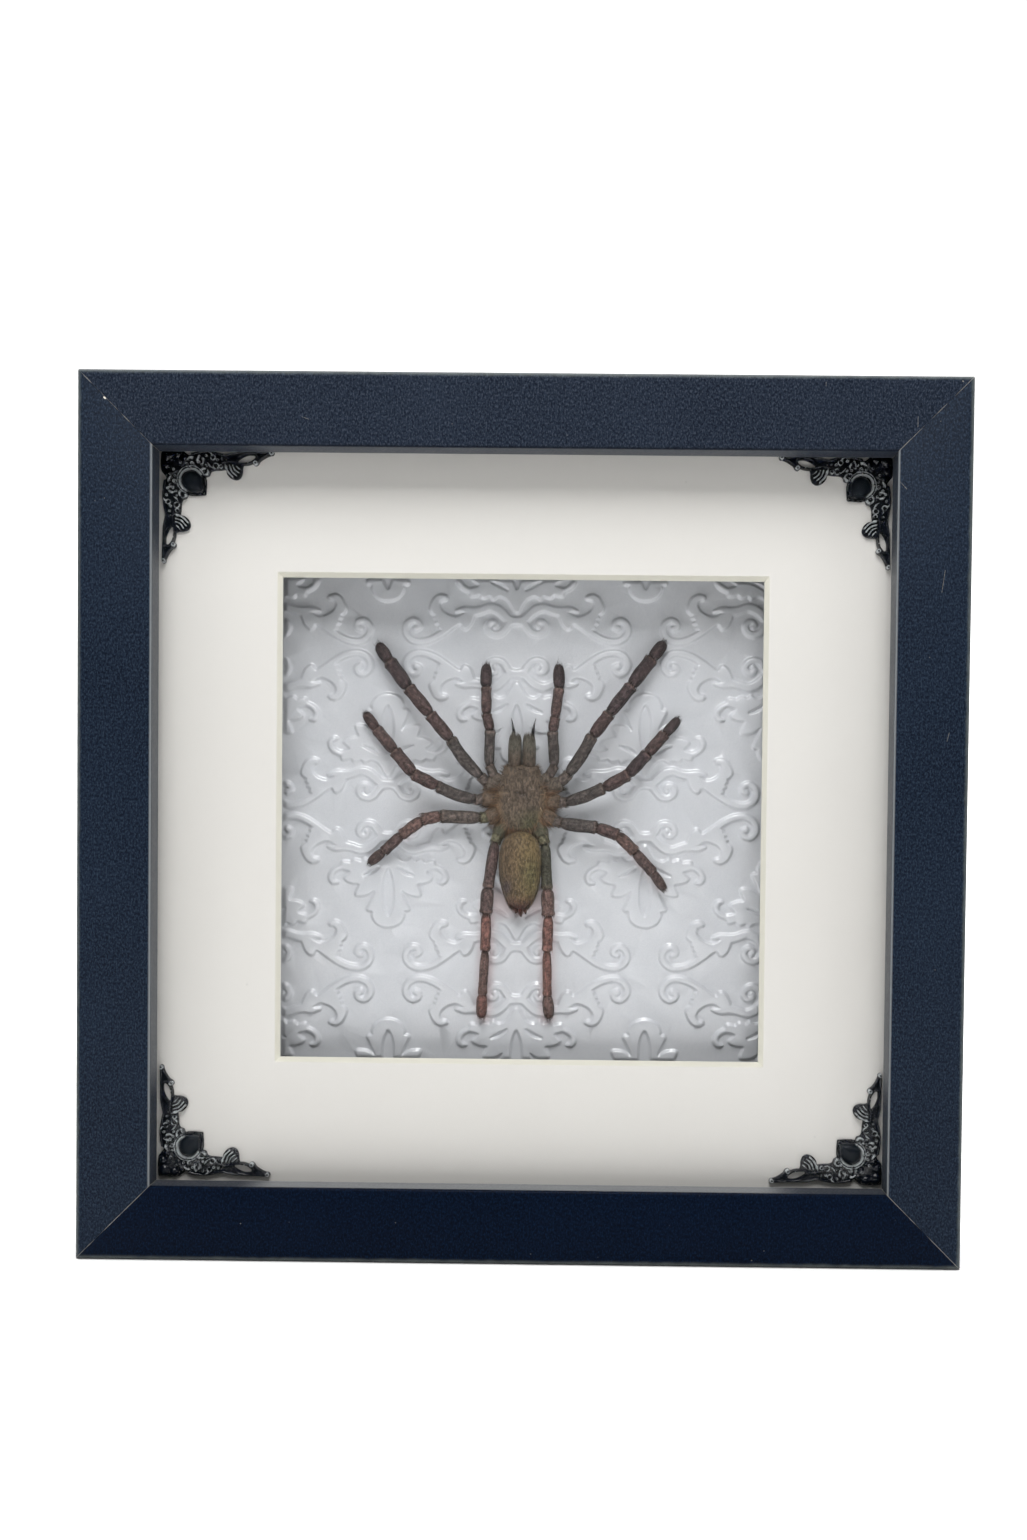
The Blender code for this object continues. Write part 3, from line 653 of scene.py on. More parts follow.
PALMETTE = ((-0.8, 10.5), (0, 10.2), (0.8, 10.5), (1.7, 12.2), (2.9, 14.0), (4.3, 14.9), (5.6, 15.0),
            (7.1, 14.2), (8.1, 15.1), (9.3, 14.7), (10.4, 14.7), (11.3, 15.5), (12.4, 15.2), (13.9, 15.2),
            (14.4, 16.3), (15.7, 16.9), (17.2, 18.0), (18.0, 19.6), (17.9, 21.1), (16.8, 22.2),
            (15.4, 22.1), (15.0, 21.5), (16.2, 20.8), (16.4, 19.5), (15.5, 18.5), (14.2, 17.8),
            (12.8, 18.0), (11.6, 18.5), (12.4, 19.4), (13.4, 20.3), (12.7, 21.3), (10.8, 22.0),
            (9.0, 22.2), (9.3, 23.4), (9.9, 24.9), (9.6, 25.8), (7.3, 25.8), (5.6, 25.2), (4.2, 24.3),
            (5.0, 26.5), (6.0, 28.6), (6.5, 29.7), (6.0, 30.4), (4.9, 30.5), (5.0, 31.6), (4.3, 33.3),
            (3.0, 34.5), (1.5, 35.1), (0, 35.3), (-2.0, 34.8), (-2.0, 12.8))
TEARDROP = ((0, 17.3), (0.75, 18.6), (1.4, 21.0), (1.75, 24.0), (1.7, 27.0), (1.25, 29.4), (0.6, 31.0),
            (0, 31.6), (-1.5, 30.0), (-2.0, 24.0), (-1.0, 19.0))
SIDE_GROOVE = ((2.9, 17.1, 0.15), (4.2, 18.0, 0.42), (5.6, 18.8, 0.45), (7.5, 19.5, 0.2))


# %% Height of the motif
CELL = 0.15  # between the points of the quarter's grid


def motif(x, z):
    """The height of the quarter motif at points measured from its knot."""
    raised = np.minimum.reduce([stroke(x, z, *BAR_AND_BRACKET), stroke(x, z, *VOLUTE),
                                stroke(x, z, *LONG_ARM), patch(x, z, *LEAF), patch(x, z, *PALMETTE)])
    sunk = np.minimum(patch(x, z, *TEARDROP), stroke(x, z, *SIDE_GROOVE))
    raised = np.maximum(raised, -sunk)
    return EMBOSS * soft_step(0.5 - raised / EMBOSS_EDGE)


cell_x, cell_z = np.meshgrid(np.arange(0, COLUMN + CELL, CELL), np.arange(0, DROP + CELL, CELL))
cell = np.maximum(motif(cell_x, cell_z), motif(COLUMN - cell_x, DROP - cell_z))
print("motif:", cell.shape, "raised share", round(float((cell > EMBOSS / 2).mean()), 3))


# %% The whole sheet's height
def fold(value, period):
    """Mirrors a coordinate back into 0 to period."""
    return np.abs((value + period) % (2 * period) - period)


def damask(x, z):
    """The height of the embossing at places on the paper, read from the quarter."""
    along = fold(x + PATTERN_TILT * (z - 128) - PATTERN_AT[0], COLUMN) / CELL
    up = fold(z - PATTERN_TILT * (x + 2) - PATTERN_AT[1], DROP) / CELL
    i, j = np.floor(along).astype(int), np.floor(up).astype(int)
    i, j = np.clip(i, 0, cell.shape[1] - 2), np.clip(j, 0, cell.shape[0] - 2)
    s, t = along - i, up - j
    return ((1 - t) * ((1 - s) * cell[j, i] + s * cell[j, i + 1])
            + t * ((1 - s) * cell[j + 1, i] + s * cell[j + 1, i + 1]))


knot = [round(float(damask(np.array(x), np.array(z))), 2) for x, z in (PATTERN_AT, (20.0, 120.0))]
print("height on a knot and at a place between:", knot, "mm")

# %% [markdown]
# ## The embossed paper
#
# The stock is cool white and faintly pearly, with a soft sheen. The sheet is built as a grid of
# points pushed forward by the damask. A grid fine enough for the scrolls has far more points than
# flat ground needs, so Decimate then melts the flat parts together and keeps the ridges. Only the
# part that the window can show is embossed, and a plain margin runs on behind the mat to the size of
# the solid sheet. Round the hind legs the paper has taken a pink stain from the specimen.

# %% Paper stock
STAINS = (  # start, end, ragged edge, full within, gone beyond, strength
    ((-10.6, 104.0), (-12.0, 66.5), 1.2, 0.6, 4.6, 1.0), ((7.0, 104.0), (7.2, 66.5), 1.2, 0.6, 4.6, 1.0),
    ((32.4, 117.0), (41.0, 106.0), 1.0, 0.6, 3.6, 0.55),
    ((-36.0, 121.0), (-30.5, 126.0), 1.0, 0.6, 3.6, 0.55),
    ((-7.0, 100.5), (4.5, 101.5), 2.0, 2.0, 8.0, 0.9))
paper_stock = Finish("paper_stock", roughness=0.3, specular=1.0, ior=1.7)
x, _, z = paper_stock.axes()
fibre = paper_stock.noise(0.35, 4.0)
cloud = paper_stock.noise(22.0, 2.0)
stock = paper_stock.mix(cloud, tone(216, 219, 224), tone(223, 224, 227))
stock = paper_stock.mix(paper_stock.step(fibre, 0.35, 0.7) * 0.45, stock, tone(196, 200, 206))
stain = 0.0
for start, end, ragged, full, gone, strength in STAINS:
    off = near_segment(x, z, start, end) + cloud * ragged
    stain = (paper_stock.within(off, full, gone) * strength) | stain
paper_stock.set(base_color=paper_stock.mix(stain * 0.42, stock, tone(222, 178, 176)))
paper_stock.bump(fibre * 0.02 + paper_stock.noise(0.9, 2.0) * 0.02, 0.6)
print("paper stock:", len(paper_stock.tree.nodes), "nodes")

# %% Heights of the sheet
PAPER_STEP, PAPER_SHOWN = 0.31, 146.0
PAPER_TRIANGLES = 150000
paper_at, paper_half = middle_of("embossed_paper")
window_at = np.array((-0.55, 125.35))
count = int(PAPER_SHOWN / PAPER_STEP)
inner = np.linspace(-PAPER_SHOWN / 2, PAPER_SHOWN / 2, count)
margin_x = (paper_at[0] - paper_half[0], paper_at[0] + paper_half[0])
margin_z = (paper_at[2] - paper_half[2], paper_at[2] + paper_half[2])
line_x = np.concatenate([[margin_x[0]], window_at[0] + inner, [margin_x[1]]])
line_z = np.concatenate([[margin_z[0]], window_at[1] + inner, [margin_z[1]]])
grid_x, grid_z = np.meshgrid(line_x, line_z)
height = damask(grid_x, grid_z)
edge = np.minimum(np.minimum(grid_x - line_x[1], line_x[-2] - grid_x),
                  np.minimum(grid_z - line_z[1], line_z[-2] - grid_z))
height *= soft_step(edge / 2.0)
front_y, back_y = paper_at[1] - paper_half[1], paper_at[1] + paper_half[1]
print("paper grid:", grid_x.shape, "highest", round(float(height.max()), 2), "mm")


# %% The sheet as a mesh
def grid_quads(rows, columns):
    """The numbers of a grid's points, and the four corners of each of its cells."""
    index = np.arange(rows * columns).reshape(rows, columns)
    return index, np.stack([index[:-1, :-1], index[:-1, 1:], index[1:, 1:], index[1:, :-1]], -1)


def slab(x, z, height):
    """The points and faces of a closed sheet whose front is a grid of heights."""
    front = np.stack([x, front_y - height, z], -1).reshape(-1, 3)
    index, quads = grid_quads(*x.shape)
    rim = np.concatenate([index[0], index[1:, -1], index[-1, -2::-1], index[-2:0:-1, 0]])
    back = front[rim].copy()
    back[:, 1] = back_y
    first = len(front)
    faces = quads.reshape(-1, 4).tolist()
    for k in range(len(rim)):
        after = (k + 1) % len(rim)
        faces.append((int(rim[after]), int(rim[k]), first + k, first + after))
    faces.append(tuple(range(first, first + len(rim))))
    return np.concatenate([front, back]), faces


paper_points, paper_faces = slab(grid_x, grid_z, height)
paper = piece("embossed_sheet", mesh_of("embossed_sheet", paper_points, paper_faces), [paper_stock],
              "embossed_paper", "embossed_paper")
triangles = sum(len(face.vertices) - 2 for face in paper.data.polygons)
modified(paper, "DECIMATE", ratio=min(1.0, PAPER_TRIANGLES / triangles))
paper.data.shade_smooth()
paper.data.set_sharp_from_angle(angle=math.radians(70))
print("paper after Decimate:", len(paper.data.polygons), "faces")

# %% [markdown]
# ## The mat
#
# Mat board is a soft white card, cut at 45 degrees so that the window shows a sloping band of its
# paler core. The face and the core are two materials on one mesh. The face has a faint fibre and a
# few specks of dust, which keep it from looking like plastic.

# %% Mat board
mat_face = Finish("mat_face", roughness=0.88, specular=0.25)
fibre = mat_face.noise(0.5, 4.0)
dust = mat_face.step(mat_face.cells(9.0), 0.045, 0.02) * mat_face.step(mat_face.noise(13.0, 1.0), 0.5, 0.6)
card = mat_face.mix(mat_face.noise(60.0, 2.0), tone(231, 228, 223), tone(235, 233, 228))
card = mat_face.mix(mat_face.step(fibre, 0.3, 0.75) * 0.12, card, tone(220, 217, 212))
mat_face.set(base_color=mat_face.mix(dust * 0.35, card, tone(170, 168, 164)))
mat_face.bump(fibre * 0.03, 0.5)

mat_core = Finish("mat_core", roughness=0.9, specular=0.2)
layers = mat_core.noise(0.3, 3.0, (0.15, 1.0, 0.15))
mat_core.set(base_color=mat_core.mix(layers, tone(230, 227, 212), tone(238, 236, 224)))

MAT_WINDOW = 141.8
mat_at, mat_half = middle_of("mat_board")
thick = 2 * mat_half[1]
mat_front = mat_at[1] - mat_half[1]
outlines = ((mat_at[[0, 2]], mat_half[0], 0.0), (window_at, MAT_WINDOW / 2, 0.0),
            (window_at, MAT_WINDOW / 2 - thick, thick), (mat_at[[0, 2]], mat_half[0], thick))
corners = ((-1, -1), (1, -1), (1, 1), (-1, 1))
mat_points = [(centre[0] + sx * half, mat_front + depth, centre[1] + sz * half)
              for centre, half, depth in outlines for sx, sz in corners]
mat_faces = [(4 * k + i, 4 * k + (i + 1) % 4, 4 * ((k + 1) % 4) + (i + 1) % 4, 4 * ((k + 1) % 4) + i)
             for k in range(4) for i in range(4)]
mat = piece("mat_card", mesh_of("mat_card", mat_points, mat_faces, smooth=False), [mat_face, mat_core],
            "mat", "mat_board")
for face in mat.data.polygons[4:8]:
    face.material_index = 1
modified(mat, "BEVEL", width=0.1 * MM, segments=2, limit_method="ANGLE", angle_limit=math.radians(30))

# %% [markdown]
# ## The corner castings
#
# These are small die castings: a flat back, a web that holds everything together, and scrolls,
# leaves and a bezel that rise from it, all under glossy black enamel, with grey highlights painted
# on the crests. One arm is drawn, and the other is its mirror image across the diagonal, so a point is
# first swapped into the arm that was drawn. The relief is cut out where the distance to every mark is
# positive.

# %% Enamel and gem
enamel = Finish("black_enamel", roughness=0.16, specular=0.5, ior=1.5)
pits = enamel.noise(0.5, 3.0)
# The grey on the crests and the bezel is a painted highlight, read from the mesh and broken up by noise.
painted_glint = enamel.node("Attribute", {"attribute_name": "painted_glint"}, output=2)
glint_shown = (painted_glint * enamel.step(enamel.noise(1.1, 2.0), 0.36, 0.62)) | (painted_glint - 1.0)
black = enamel.mix(enamel.noise(4.0, 2.0), tone(3, 5, 14), tone(8, 13, 30))
enamel.set(base_color=enamel.mix(glint_shown & 1.0, black, tone(190, 195, 197)))
enamel.set(roughness=0.13 + pits * 0.1)
enamel.bump(pits * 0.04, 0.7)

gem_finish = Finish("dark_gem", roughness=0.3, specular=0.15)
veil = gem_finish.noise(2.2, 3.0)
gem_finish.set(base_color=gem_finish.mix(veil, tone(8, 13, 22), tone(18, 24, 33)))
gem_finish.set(roughness=0.28 + veil * 0.1)
print("enamel:", len(enamel.tree.nodes), "nodes, gem:", len(gem_finish.tree.nodes))

# %% [markdown]
# The marks of one arm are lists of (along, across) from the casting's corner, some with a radius: the
# web's outline, rods along its edge and tip, a stem, a curl, loops, leaves, ribs and balls. Two slots
# and two holes go right through. The gem's outline is a circle that is drawn out to one corner.

# %% Marks of one arm
CASTING_REACH, CASTING_MIDDLE = 105.2, 125.8
CASTING_STEP = 0.14
WEB_HEIGHT, RIM_HEIGHT = 0.6, 0.4
GEM_AT, GEM_RADIUS, GEM_SEAT = 8.95, 3.05, 9.35
WEB = ((0.15, 1.3), (0.7, 0.4), (2.4, 0.1), (4.6, 0.0), (6.3, 0.3), (7.3, 1.1), (8.3, 1.7),
       (9.4, 1.0), (11.1, 0.6), (14.2, 0.5), (16.8, 0.9), (18.8, 1.3), (20.9, 0.9), (23.0, 0.6),
       (29.2, 0.5), (31.7, 0.4), (32.8, 0.8), (32.5, 1.6), (31.2, 2.0), (29.9, 2.7), (28.8, 3.5),
       (28.2, 4.4), (27.2, 4.6), (26.1, 3.9), (24.5, 4.0), (23.8, 5.2), (23.7, 6.7), (23.1, 8.2),
       (21.8, 8.8), (20.3, 8.3), (19.2, 7.1), (18.8, 6.0), (17.3, 6.1), (15.6, 6.2), (14.6, 6.6),
       (14.1, 7.7), (12.8, 8.2), (12.4, 9.2), (12.4, 12.4), (0.2, 12.4))
EDGE_ROD = ((9.2, 1.5, 0.55), (10.8, 1.2, 0.5), (12.6, 0.95, 0.42), (14.4, 0.95, 0.42), (16.8, 1.4, 0.5),
            (18.9, 1.8, 0.5), (21.0, 1.35, 0.45), (23.2, 1.05, 0.42), (26.2, 1.0, 0.4), (29.2, 1.0, 0.45),
            (31.0, 0.95, 0.55), (32.2, 1.05, 0.6))
TIP_ROD = ((27.7, 4.0, 0.6), (28.4, 3.1, 0.5), (29.6, 2.2, 0.45), (31.0, 1.4, 0.45))
STEM = ((16.9, 4.3, 0.4), (18.4, 3.9, 0.45), (20.0, 3.6, 0.5), (21.6, 3.7, 0.5), (22.8, 4.1, 0.45))
SHOULDER = ((6.2, 4.6, 0.9), (7.2, 3.4, 0.8), (8.2, 3.4, 0.6))
CURL = ((11.7, 6.3, 0.4), (12.4, 5.7, 0.4), (13.5, 5.9, 0.4), (14.0, 6.8, 0.4), (13.4, 7.6, 0.38),
        (12.5, 7.3, 0.34), (12.8, 6.7, 0.3))
LOOPS = (((16.2, 5.0), 0.75), ((17.7, 5.1), 0.48), ((15.3, 2.5), 0.68), ((13.0, 6.6), 0.8), ((9.4, 4.4), 0.5))
LEAVES = (((7.9, 3.2, 0.25), (8.8, 2.6, 0.5), (9.7, 2.4, 0.2)),
          ((11.4, 1.9, 0.2), (11.0, 3.0, 0.4), (10.8, 4.2, 0.2)),
          ((12.1, 2.4, 0.2), (12.6, 3.5, 0.42), (12.4, 4.6, 0.2)),
          ((14.0, 1.0, 0.2), (14.8, 1.5, 0.36), (15.0, 2.2, 0.2)),
          ((18.8, 4.2, 0.2), (19.0, 5.4, 0.36), (19.6, 6.4, 0.2)),
          ((13.8, 4.0, 0.2), (14.4, 4.9, 0.38), (15.4, 5.6, 0.2)))
RIBS = (((19.2, 4.9, 0.3), (19.7, 6.6, 0.34), (21.2, 8.2, 0.3)),
        ((20.1, 4.7, 0.3), (20.7, 6.4, 0.34), (22.1, 7.7, 0.3)),
        ((21.0, 4.7, 0.28), (21.6, 6.0, 0.3), (22.8, 6.9, 0.3)),
        ((22.1, 5.0, 0.26), (22.7, 5.6, 0.28), (23.2, 5.9, 0.24)))
BALLS = ((2.1, 1.9, 1.75), (4.9, 1.6, 1.45), (7.1, 2.7, 0.95), (7.8, 4.4, 0.5), (9.3, 4.1, 0.55),
         (9.2, 2.7, 0.42), (10.3, 5.2, 0.45), (10.4, 3.1, 0.5), (11.4, 2.3, 0.5), (11.2, 3.8, 0.5),
         (12.4, 3.0, 0.52), (12.1, 4.7, 0.5), (13.3, 2.0, 0.5), (13.4, 4.8, 0.42), (16.5, 3.1, 0.5),
         (17.9, 2.9, 0.42), (27.5, 4.0, 0.75), (32.1, 1.1, 0.7), (6.0, 4.0, 0.5))
SLOT = ((22.7, 3.35, 0.3), (24.0, 3.0, 0.72), (25.5, 2.6, 0.86), (26.9, 2.15, 0.42))
SLOT_RING = ((22.0, 3.6), (23.2, 1.9), (25.6, 1.2), (27.8, 1.4), (27.9, 2.6), (26.3, 3.9), (24.0, 4.3))
HOLES = ((8.7, 5.3, 0.22), (18.9, 2.9, 0.24))


def gem_outline(a, grow=0.0):
    """A point of the gem's outline, a circle that is drawn out to a corner where the angle a is 0."""
    reach = (GEM_RADIUS + grow) * (1 + 0.42 * math.exp(-abs(math.remainder(a, 2 * math.pi)) / 0.36))
    turn = a + math.pi / 4
    return GEM_AT + reach * math.cos(turn), GEM_AT + reach * math.sin(turn)


def gem_ring(grow):
    """The whole outline of the gem, wider all round by grow."""
    return [gem_outline(a, grow) for a in np.linspace(0, 2 * math.pi, 40, endpoint=False)]


# %% Height of the casting
RODS = [(EDGE_ROD, 0.45, 1.35), (TIP_ROD, 0.5, 1.35), (STEM, 0.45, 1.5), (SHOULDER, 0.8, 1.5),
        (CURL, 0.38, 1.7), *((rib, 0.32, 1.75) for rib in RIBS), *((leaf, 0.38, 1.8) for leaf in LEAVES),
        ([(*point, 0.34) for point in SLOT_RING + SLOT_RING[:1]], 0.34, 1.5)]


def casting_marks(u, v):
    """The distance to each mark, with the mark's radius and the height its crest rises to."""
    marks = [(stroke(u, v, *rod), radius, crest) for rod, radius, crest in RODS]
    for (cu, cv), radius in LOOPS:
        marks.append((abs(np.hypot(u - cu, v - cv) - radius) - 0.24, 0.24, 1.7))
    for cu, cv, radius in BALLS:
        off = np.hypot(u - cu, v - cv)
        if radius > 0.8:
            marks.append((off - radius, radius, 1.9))
        else:
            marks.append((off - radius, radius, 0.9))
            marks.append((abs(off - 0.6 * radius) - 0.4 * radius, 0.4 * radius, 1.2 + 0.9 * radius))
    for grow, radius, crest in ((0.2, 0.42, 1.5), (0.95, 0.2, 1.4)):
        bezel = [(*gem_outline(a, grow), radius) for a in np.linspace(0, 2 * math.pi, 41)]
        marks.append((stroke(u, v, *bezel), radius, crest))
    return marks


def casting_relief(u, v):
    """The distance to the whole casting, and its height, over one arm and its mirror image."""
    u, v = np.maximum(u, v), np.minimum(u, v)
    away = patch(u, v, *WEB, steps=4)
    away = np.minimum(away, patch(u, v, *gem_ring(0.25)))
    height = np.full(u.shape, WEB_HEIGHT)
    for off, radius, crest in casting_marks(u, v):
        dome = np.sqrt(np.clip(1 - (np.clip(off + radius, 0, None) / radius) ** 2, 0, 1))
        height = np.maximum(height, np.where(off < 0, WEB_HEIGHT + (crest - WEB_HEIGHT) * dome, 0))
        away = np.minimum(away, off)
    sunk = stroke(u, v, *SLOT)
    for hu, hv, radius in HOLES:
        sunk = np.minimum(sunk, np.hypot(u - hu, v - hv) - radius)
    away = np.maximum(away, -sunk)
    return away, np.where(away > -0.25, np.minimum(height, RIM_HEIGHT + 2.6 * np.maximum(-away, 0)), height)


corner_marks = casting_marks(np.zeros(1), np.zeros(1))
print("marks on one arm:", len(corner_marks), "highest", max(crest for *_, crest in corner_marks), "mm")


# %% [markdown]
# Grey highlights are painted on the enamel: on the thin crests, and on the bezel behind the gem.
# How strong they are is worked out at each point from the same marks, and the mesh carries it to the
# material as an attribute.

# %% Painted highlights
def painted_glint_share(u, v):
    """How much highlight is painted on the enamel: 0 on the ground, 1 on rings, more on leaves, ribs and
    bezel.
    """
    u, v = np.maximum(u, v), np.minimum(u, v)
    share = np.zeros(u.shape)
    for off, radius, crest in casting_marks(u, v):
        if crest > 1.55 and radius < 0.4:
            crown = soft_step((0.8 - np.clip(off + radius, 0, None) / radius) / 0.4) * (off < 0)
            share = np.maximum(share, crown * (1.6 if crest > 1.74 else 1.0))
    bearing = np.arctan2(v - u, u + v - 2 * GEM_AT)
    ring = patch(u, v, *gem_ring(-0.1))
    inner, outer = soft_step((0.42 - abs(ring - 0.25)) / 0.12), soft_step((0.2 - abs(ring - 1.05)) / 0.1)
    band = np.maximum(2.0 * inner, 1.5 * outer) * soft_step((abs(bearing) - 0.9) / 0.6)
    return np.where(ring < 1.35, band, share)


# %% [markdown]
# The front is the part of a fine grid that lies inside the outline. Its edge points slide down the
# slope of the distance until they lie on the outline, which gives a clean edge instead of a staircase.
# Walls and a flat back close it, and Decimate thins it where it is flat.

# %% Cut the casting out of its relief
CASTING_SPAN = (-0.2, 33.4)
CASTING_TRIANGLES = 46000


def casting_mesh():
    """The relief as a mesh: a front cut along its outline, walls and a flat back."""
    line = np.arange(*CASTING_SPAN, CASTING_STEP)
    u, v = np.meshgrid(line, line)
    away, height = casting_relief(u, v)
    grad_v, grad_u = np.gradient(away, CASTING_STEP)
    inside = away < 0
    keep = inside[:-1, :-1] & inside[:-1, 1:] & inside[1:, :-1] & inside[1:, 1:]
    quads = grid_quads(*u.shape)[1][keep]

    shape = bmesh.new()
    used = np.unique(quads)
    corner = {}
    for k in used:
        corner[k] = shape.verts.new((u.flat[k], v.flat[k], height.flat[k]))
    for quad in quads:
        shape.faces.new([corner[k] for k in quad])
    number = {vert: k for k, vert in corner.items()}
    for vert in [vert for vert in shape.verts if vert.is_boundary]:
        k = number[vert]
        slope = np.array((grad_u.flat[k], grad_v.flat[k]))
        shift = away.flat[k] * slope / max(slope @ slope, 0.25)
        shift *= min(1.0, CASTING_STEP / max(np.hypot(*shift), 1e-9))
        vert.co.x -= shift[0]
        vert.co.y -= shift[1]
        vert.co.z = RIM_HEIGHT
    bmesh.ops.delete(shape, geom=[vert for vert in shape.verts if not vert.link_faces], context="VERTS")
    walls = bmesh.ops.extrude_face_region(shape, geom=shape.faces[:])
    for item in walls["geom"]:
        if isinstance(item, bmesh.types.BMVert):
            item.co.z = 0.0
    bmesh.ops.recalc_face_normals(shape, faces=shape.faces)
    shape.verts.index_update()
    points = [vert.co[:] for vert in shape.verts]
    faces = [[vert.index for vert in face.verts] for face in shape.faces]
    shape.free()
    # Extrude leaves its faces in another order each run, and Decimate would thin them differently.
    faces = sorted(face[face.index(min(face)):] + face[:face.index(min(face))] for face in faces)
    return mesh_of("filigree", points, faces)


# %% Thin the casting and store its painted highlights
helper = bpy.data.objects.new("filigree", casting_mesh())
scene.collection.objects.link(helper)
flat_count = sum(len(face.vertices) - 2 for face in helper.data.polygons)
modified(helper, "DECIMATE", ratio=min(1.0, CASTING_TRIANGLES / flat_count))
filigree = helper.data
bpy.data.objects.remove(helper)
filigree.shade_smooth()
filigree.set_sharp_from_angle(angle=math.radians(50))
flat_at = np.array([vertex.co[:2] for vertex in filigree.vertices]) / MM
glint_layer = filigree.attributes.new("painted_glint", "FLOAT", "POINT")
glint_layer.data.foreach_set("value", painted_glint_share(*flat_at.T).astype(np.float32))
print("filigree:", flat_count, "triangles, thinned to", len(filigree.polygons))

# %% [markdown]
# The gem is its own small dome: rings of its outline, each smaller and higher than the last. It joins
# the casting's mesh with a material of its own, since on the real casting it is set in the bezel for
# good. The four corners share the shape, turned and mirrored by each object's own mesh.

# %% Gem, and one casting in each corner
CASTING_GAP = 0.3  # from the mat to the casting's back
GEM_RINGS = ((1.0, 0.5), (1.0, 1.5), (0.95, 2.0), (0.84, 2.38), (0.66, 2.66), (0.42, 2.86), (0.18, 2.95))


def around(sides):
    """The angles of points spread evenly round a circle."""
    return [2 * math.pi * i / sides for i in range(sides)]


def loft_faces(rings, sides, first=0):
    """The faces between rings of points that follow one another, and a lid at each end."""
    faces = []
    for k in range(rings - 1):
        for i in range(sides):
            a, b = first + k * sides + i, first + k * sides + (i + 1) % sides
            faces.append((a, b, b + sides, a + sides))
    last = first + (rings - 1) * sides
    return [*faces, tuple(reversed(range(first, first + sides))), tuple(range(last, last + sides))]


def gem_mesh():
    """The points and faces of the gem's dome."""
    outline = [np.array(gem_outline(a, -0.25)) - GEM_AT for a in around(40)]
    points = [(*(GEM_SEAT + off * shrink), rise) for shrink, rise in GEM_RINGS for off in outline]
    return points, loft_faces(len(GEM_RINGS), len(outline))


def casting(level, side):
    """The filigree with its gem, mirrored and moved into one corner of the mat."""
    mesh = filigree.copy()
    mesh.name = f"casting_{level}_{side}"
    shape = bmesh.new()
    shape.from_mesh(mesh)
    gem_points, gem_faces = gem_mesh()
    verts = [shape.verts.new(Vector(point) * MM) for point in gem_points]
    for face in gem_faces:
        made = shape.faces.new([verts[i] for i in face])
        made.material_index = 1
        made.smooth = True
    across, up = (1 if side == "left" else -1), (1 if level == "bottom" else -1)
    for vert in shape.verts:
        u, v, rise = vert.co
        vert.co = Vector((across * (u - CASTING_REACH * MM), (mat_front - CASTING_GAP) * MM - rise,
                          CASTING_MIDDLE * MM + up * (v - CASTING_REACH * MM)))
    if across * up < 0:
        bmesh.ops.reverse_faces(shape, faces=shape.faces)
    shape.to_mesh(mesh)
    shape.free()
    piece(f"casting_{level}_{side}", mesh, [enamel, gem_finish], "casting",
          f"corner_casting_{level}_{side}")


for level in ("top", "bottom"):
    for side in ("left", "right"):
        casting(level, side)

# %% [markdown]
# ## The tarantula's skin and hair
#
# Every part of the spider is a dry skin under hair. The skin's colour changes from one segment to the
# next, so each point of a mesh carries its own tint, which the material reads as an attribute and
# breaks up with noise. Hair is modelled as real strands: each is a thin three-sided spike
# in two bends, rooted just under the skin. A particle system would be quicker to set up, but
# it doesn't survive an export, and spikes built in numpy cost little.

# %% Skin, hair and horn
def skin_finish(name, size, depth, stretch):
    """Dry skin over the mesh's own tint: the size, strength and stretch of its mottling."""
    made = Finish(name, specular=0.35, sheen_weight=0.12)
    tint = made.node("Attribute", {"attribute_name": "tint"})
    mottle = made.noise(size, 4.0, stretch)
    crease = made.noise(0.24, 3.0, stretch)
    low, high = ([1 + depth * (v - 1) for v in ends] + [1.0]
                 for ends in ((0.45, 0.43, 0.43), (1.42, 1.4, 1.37)))
    dark = made.mix(made.step(mottle, 0.33, 0.67), low, high)
    shade = made.mix(1.0, tint, dark, "MULTIPLY")
    fleck = made.step(crease, 0.58, 0.75) * 0.3
    made.set(base_color=made.mix(fleck, shade, tone(172, 150, 122, 0.8)))
    made.set(roughness=0.5 + mottle * 0.2)
    made.bump(mottle * 0.2 + crease * 0.12, 0.9)
    return made


skin = skin_finish("dry_skin", size=0.9, depth=1.0, stretch=(1.0, 1.0, 1.0))
body_skin = skin_finish("dry_body_skin", size=0.62, depth=0.95, stretch=(1.0, 1.0, 0.5))

hair = Finish("hair", specular=0.45, sheen_weight=0.1)
streak = hair.noise(0.5, 2.0)
tint = hair.node("Attribute", {"attribute_name": "tint"})
hair.set(base_color=hair.mix(streak * 0.2, tint, tone(120, 98, 76)), roughness=0.36 + streak * 0.2)

horn = Finish("fang_horn", roughness=0.16, specular=0.6)
band = horn.noise(1.2, 3.0)
horn.set(base_color=horn.mix(band, tone(10, 9, 16), tone(34, 26, 30)), roughness=0.14 + band * 0.12)
print("spider finishes:", [made.material.name for made in (skin, body_skin, hair, horn)])

# %% [markdown]
# The spider has its own measure: across and up from the middle of the carapace, and lift, which is
# how far a point stands in front of the paper. A few small helpers turn that into places, directions
# and tints.

# %% Places, directions and tints
SPIDER_AT = np.array((-1.2, 133.0))
PAPER_FRONT = front_y


def on_paper(x, z, lift):
    """A point of the spider: across and up from the carapace's middle, in front of the paper."""
    return np.array((SPIDER_AT[0] + x, PAPER_FRONT - lift, SPIDER_AT[1] + z))


def unit(vectors):
    """The same directions, one long."""
    return vectors / np.maximum(np.linalg.norm(vectors, axis=-1, keepdims=True), 1e-9)


def directions(start, end):
    """Unit vectors along a run from start to end, across it and over it."""
    way = unit(end - start)
    across = unit(np.cross(way, (0.0, 1.0, 0.0)))
    return way, across, np.cross(across, way)


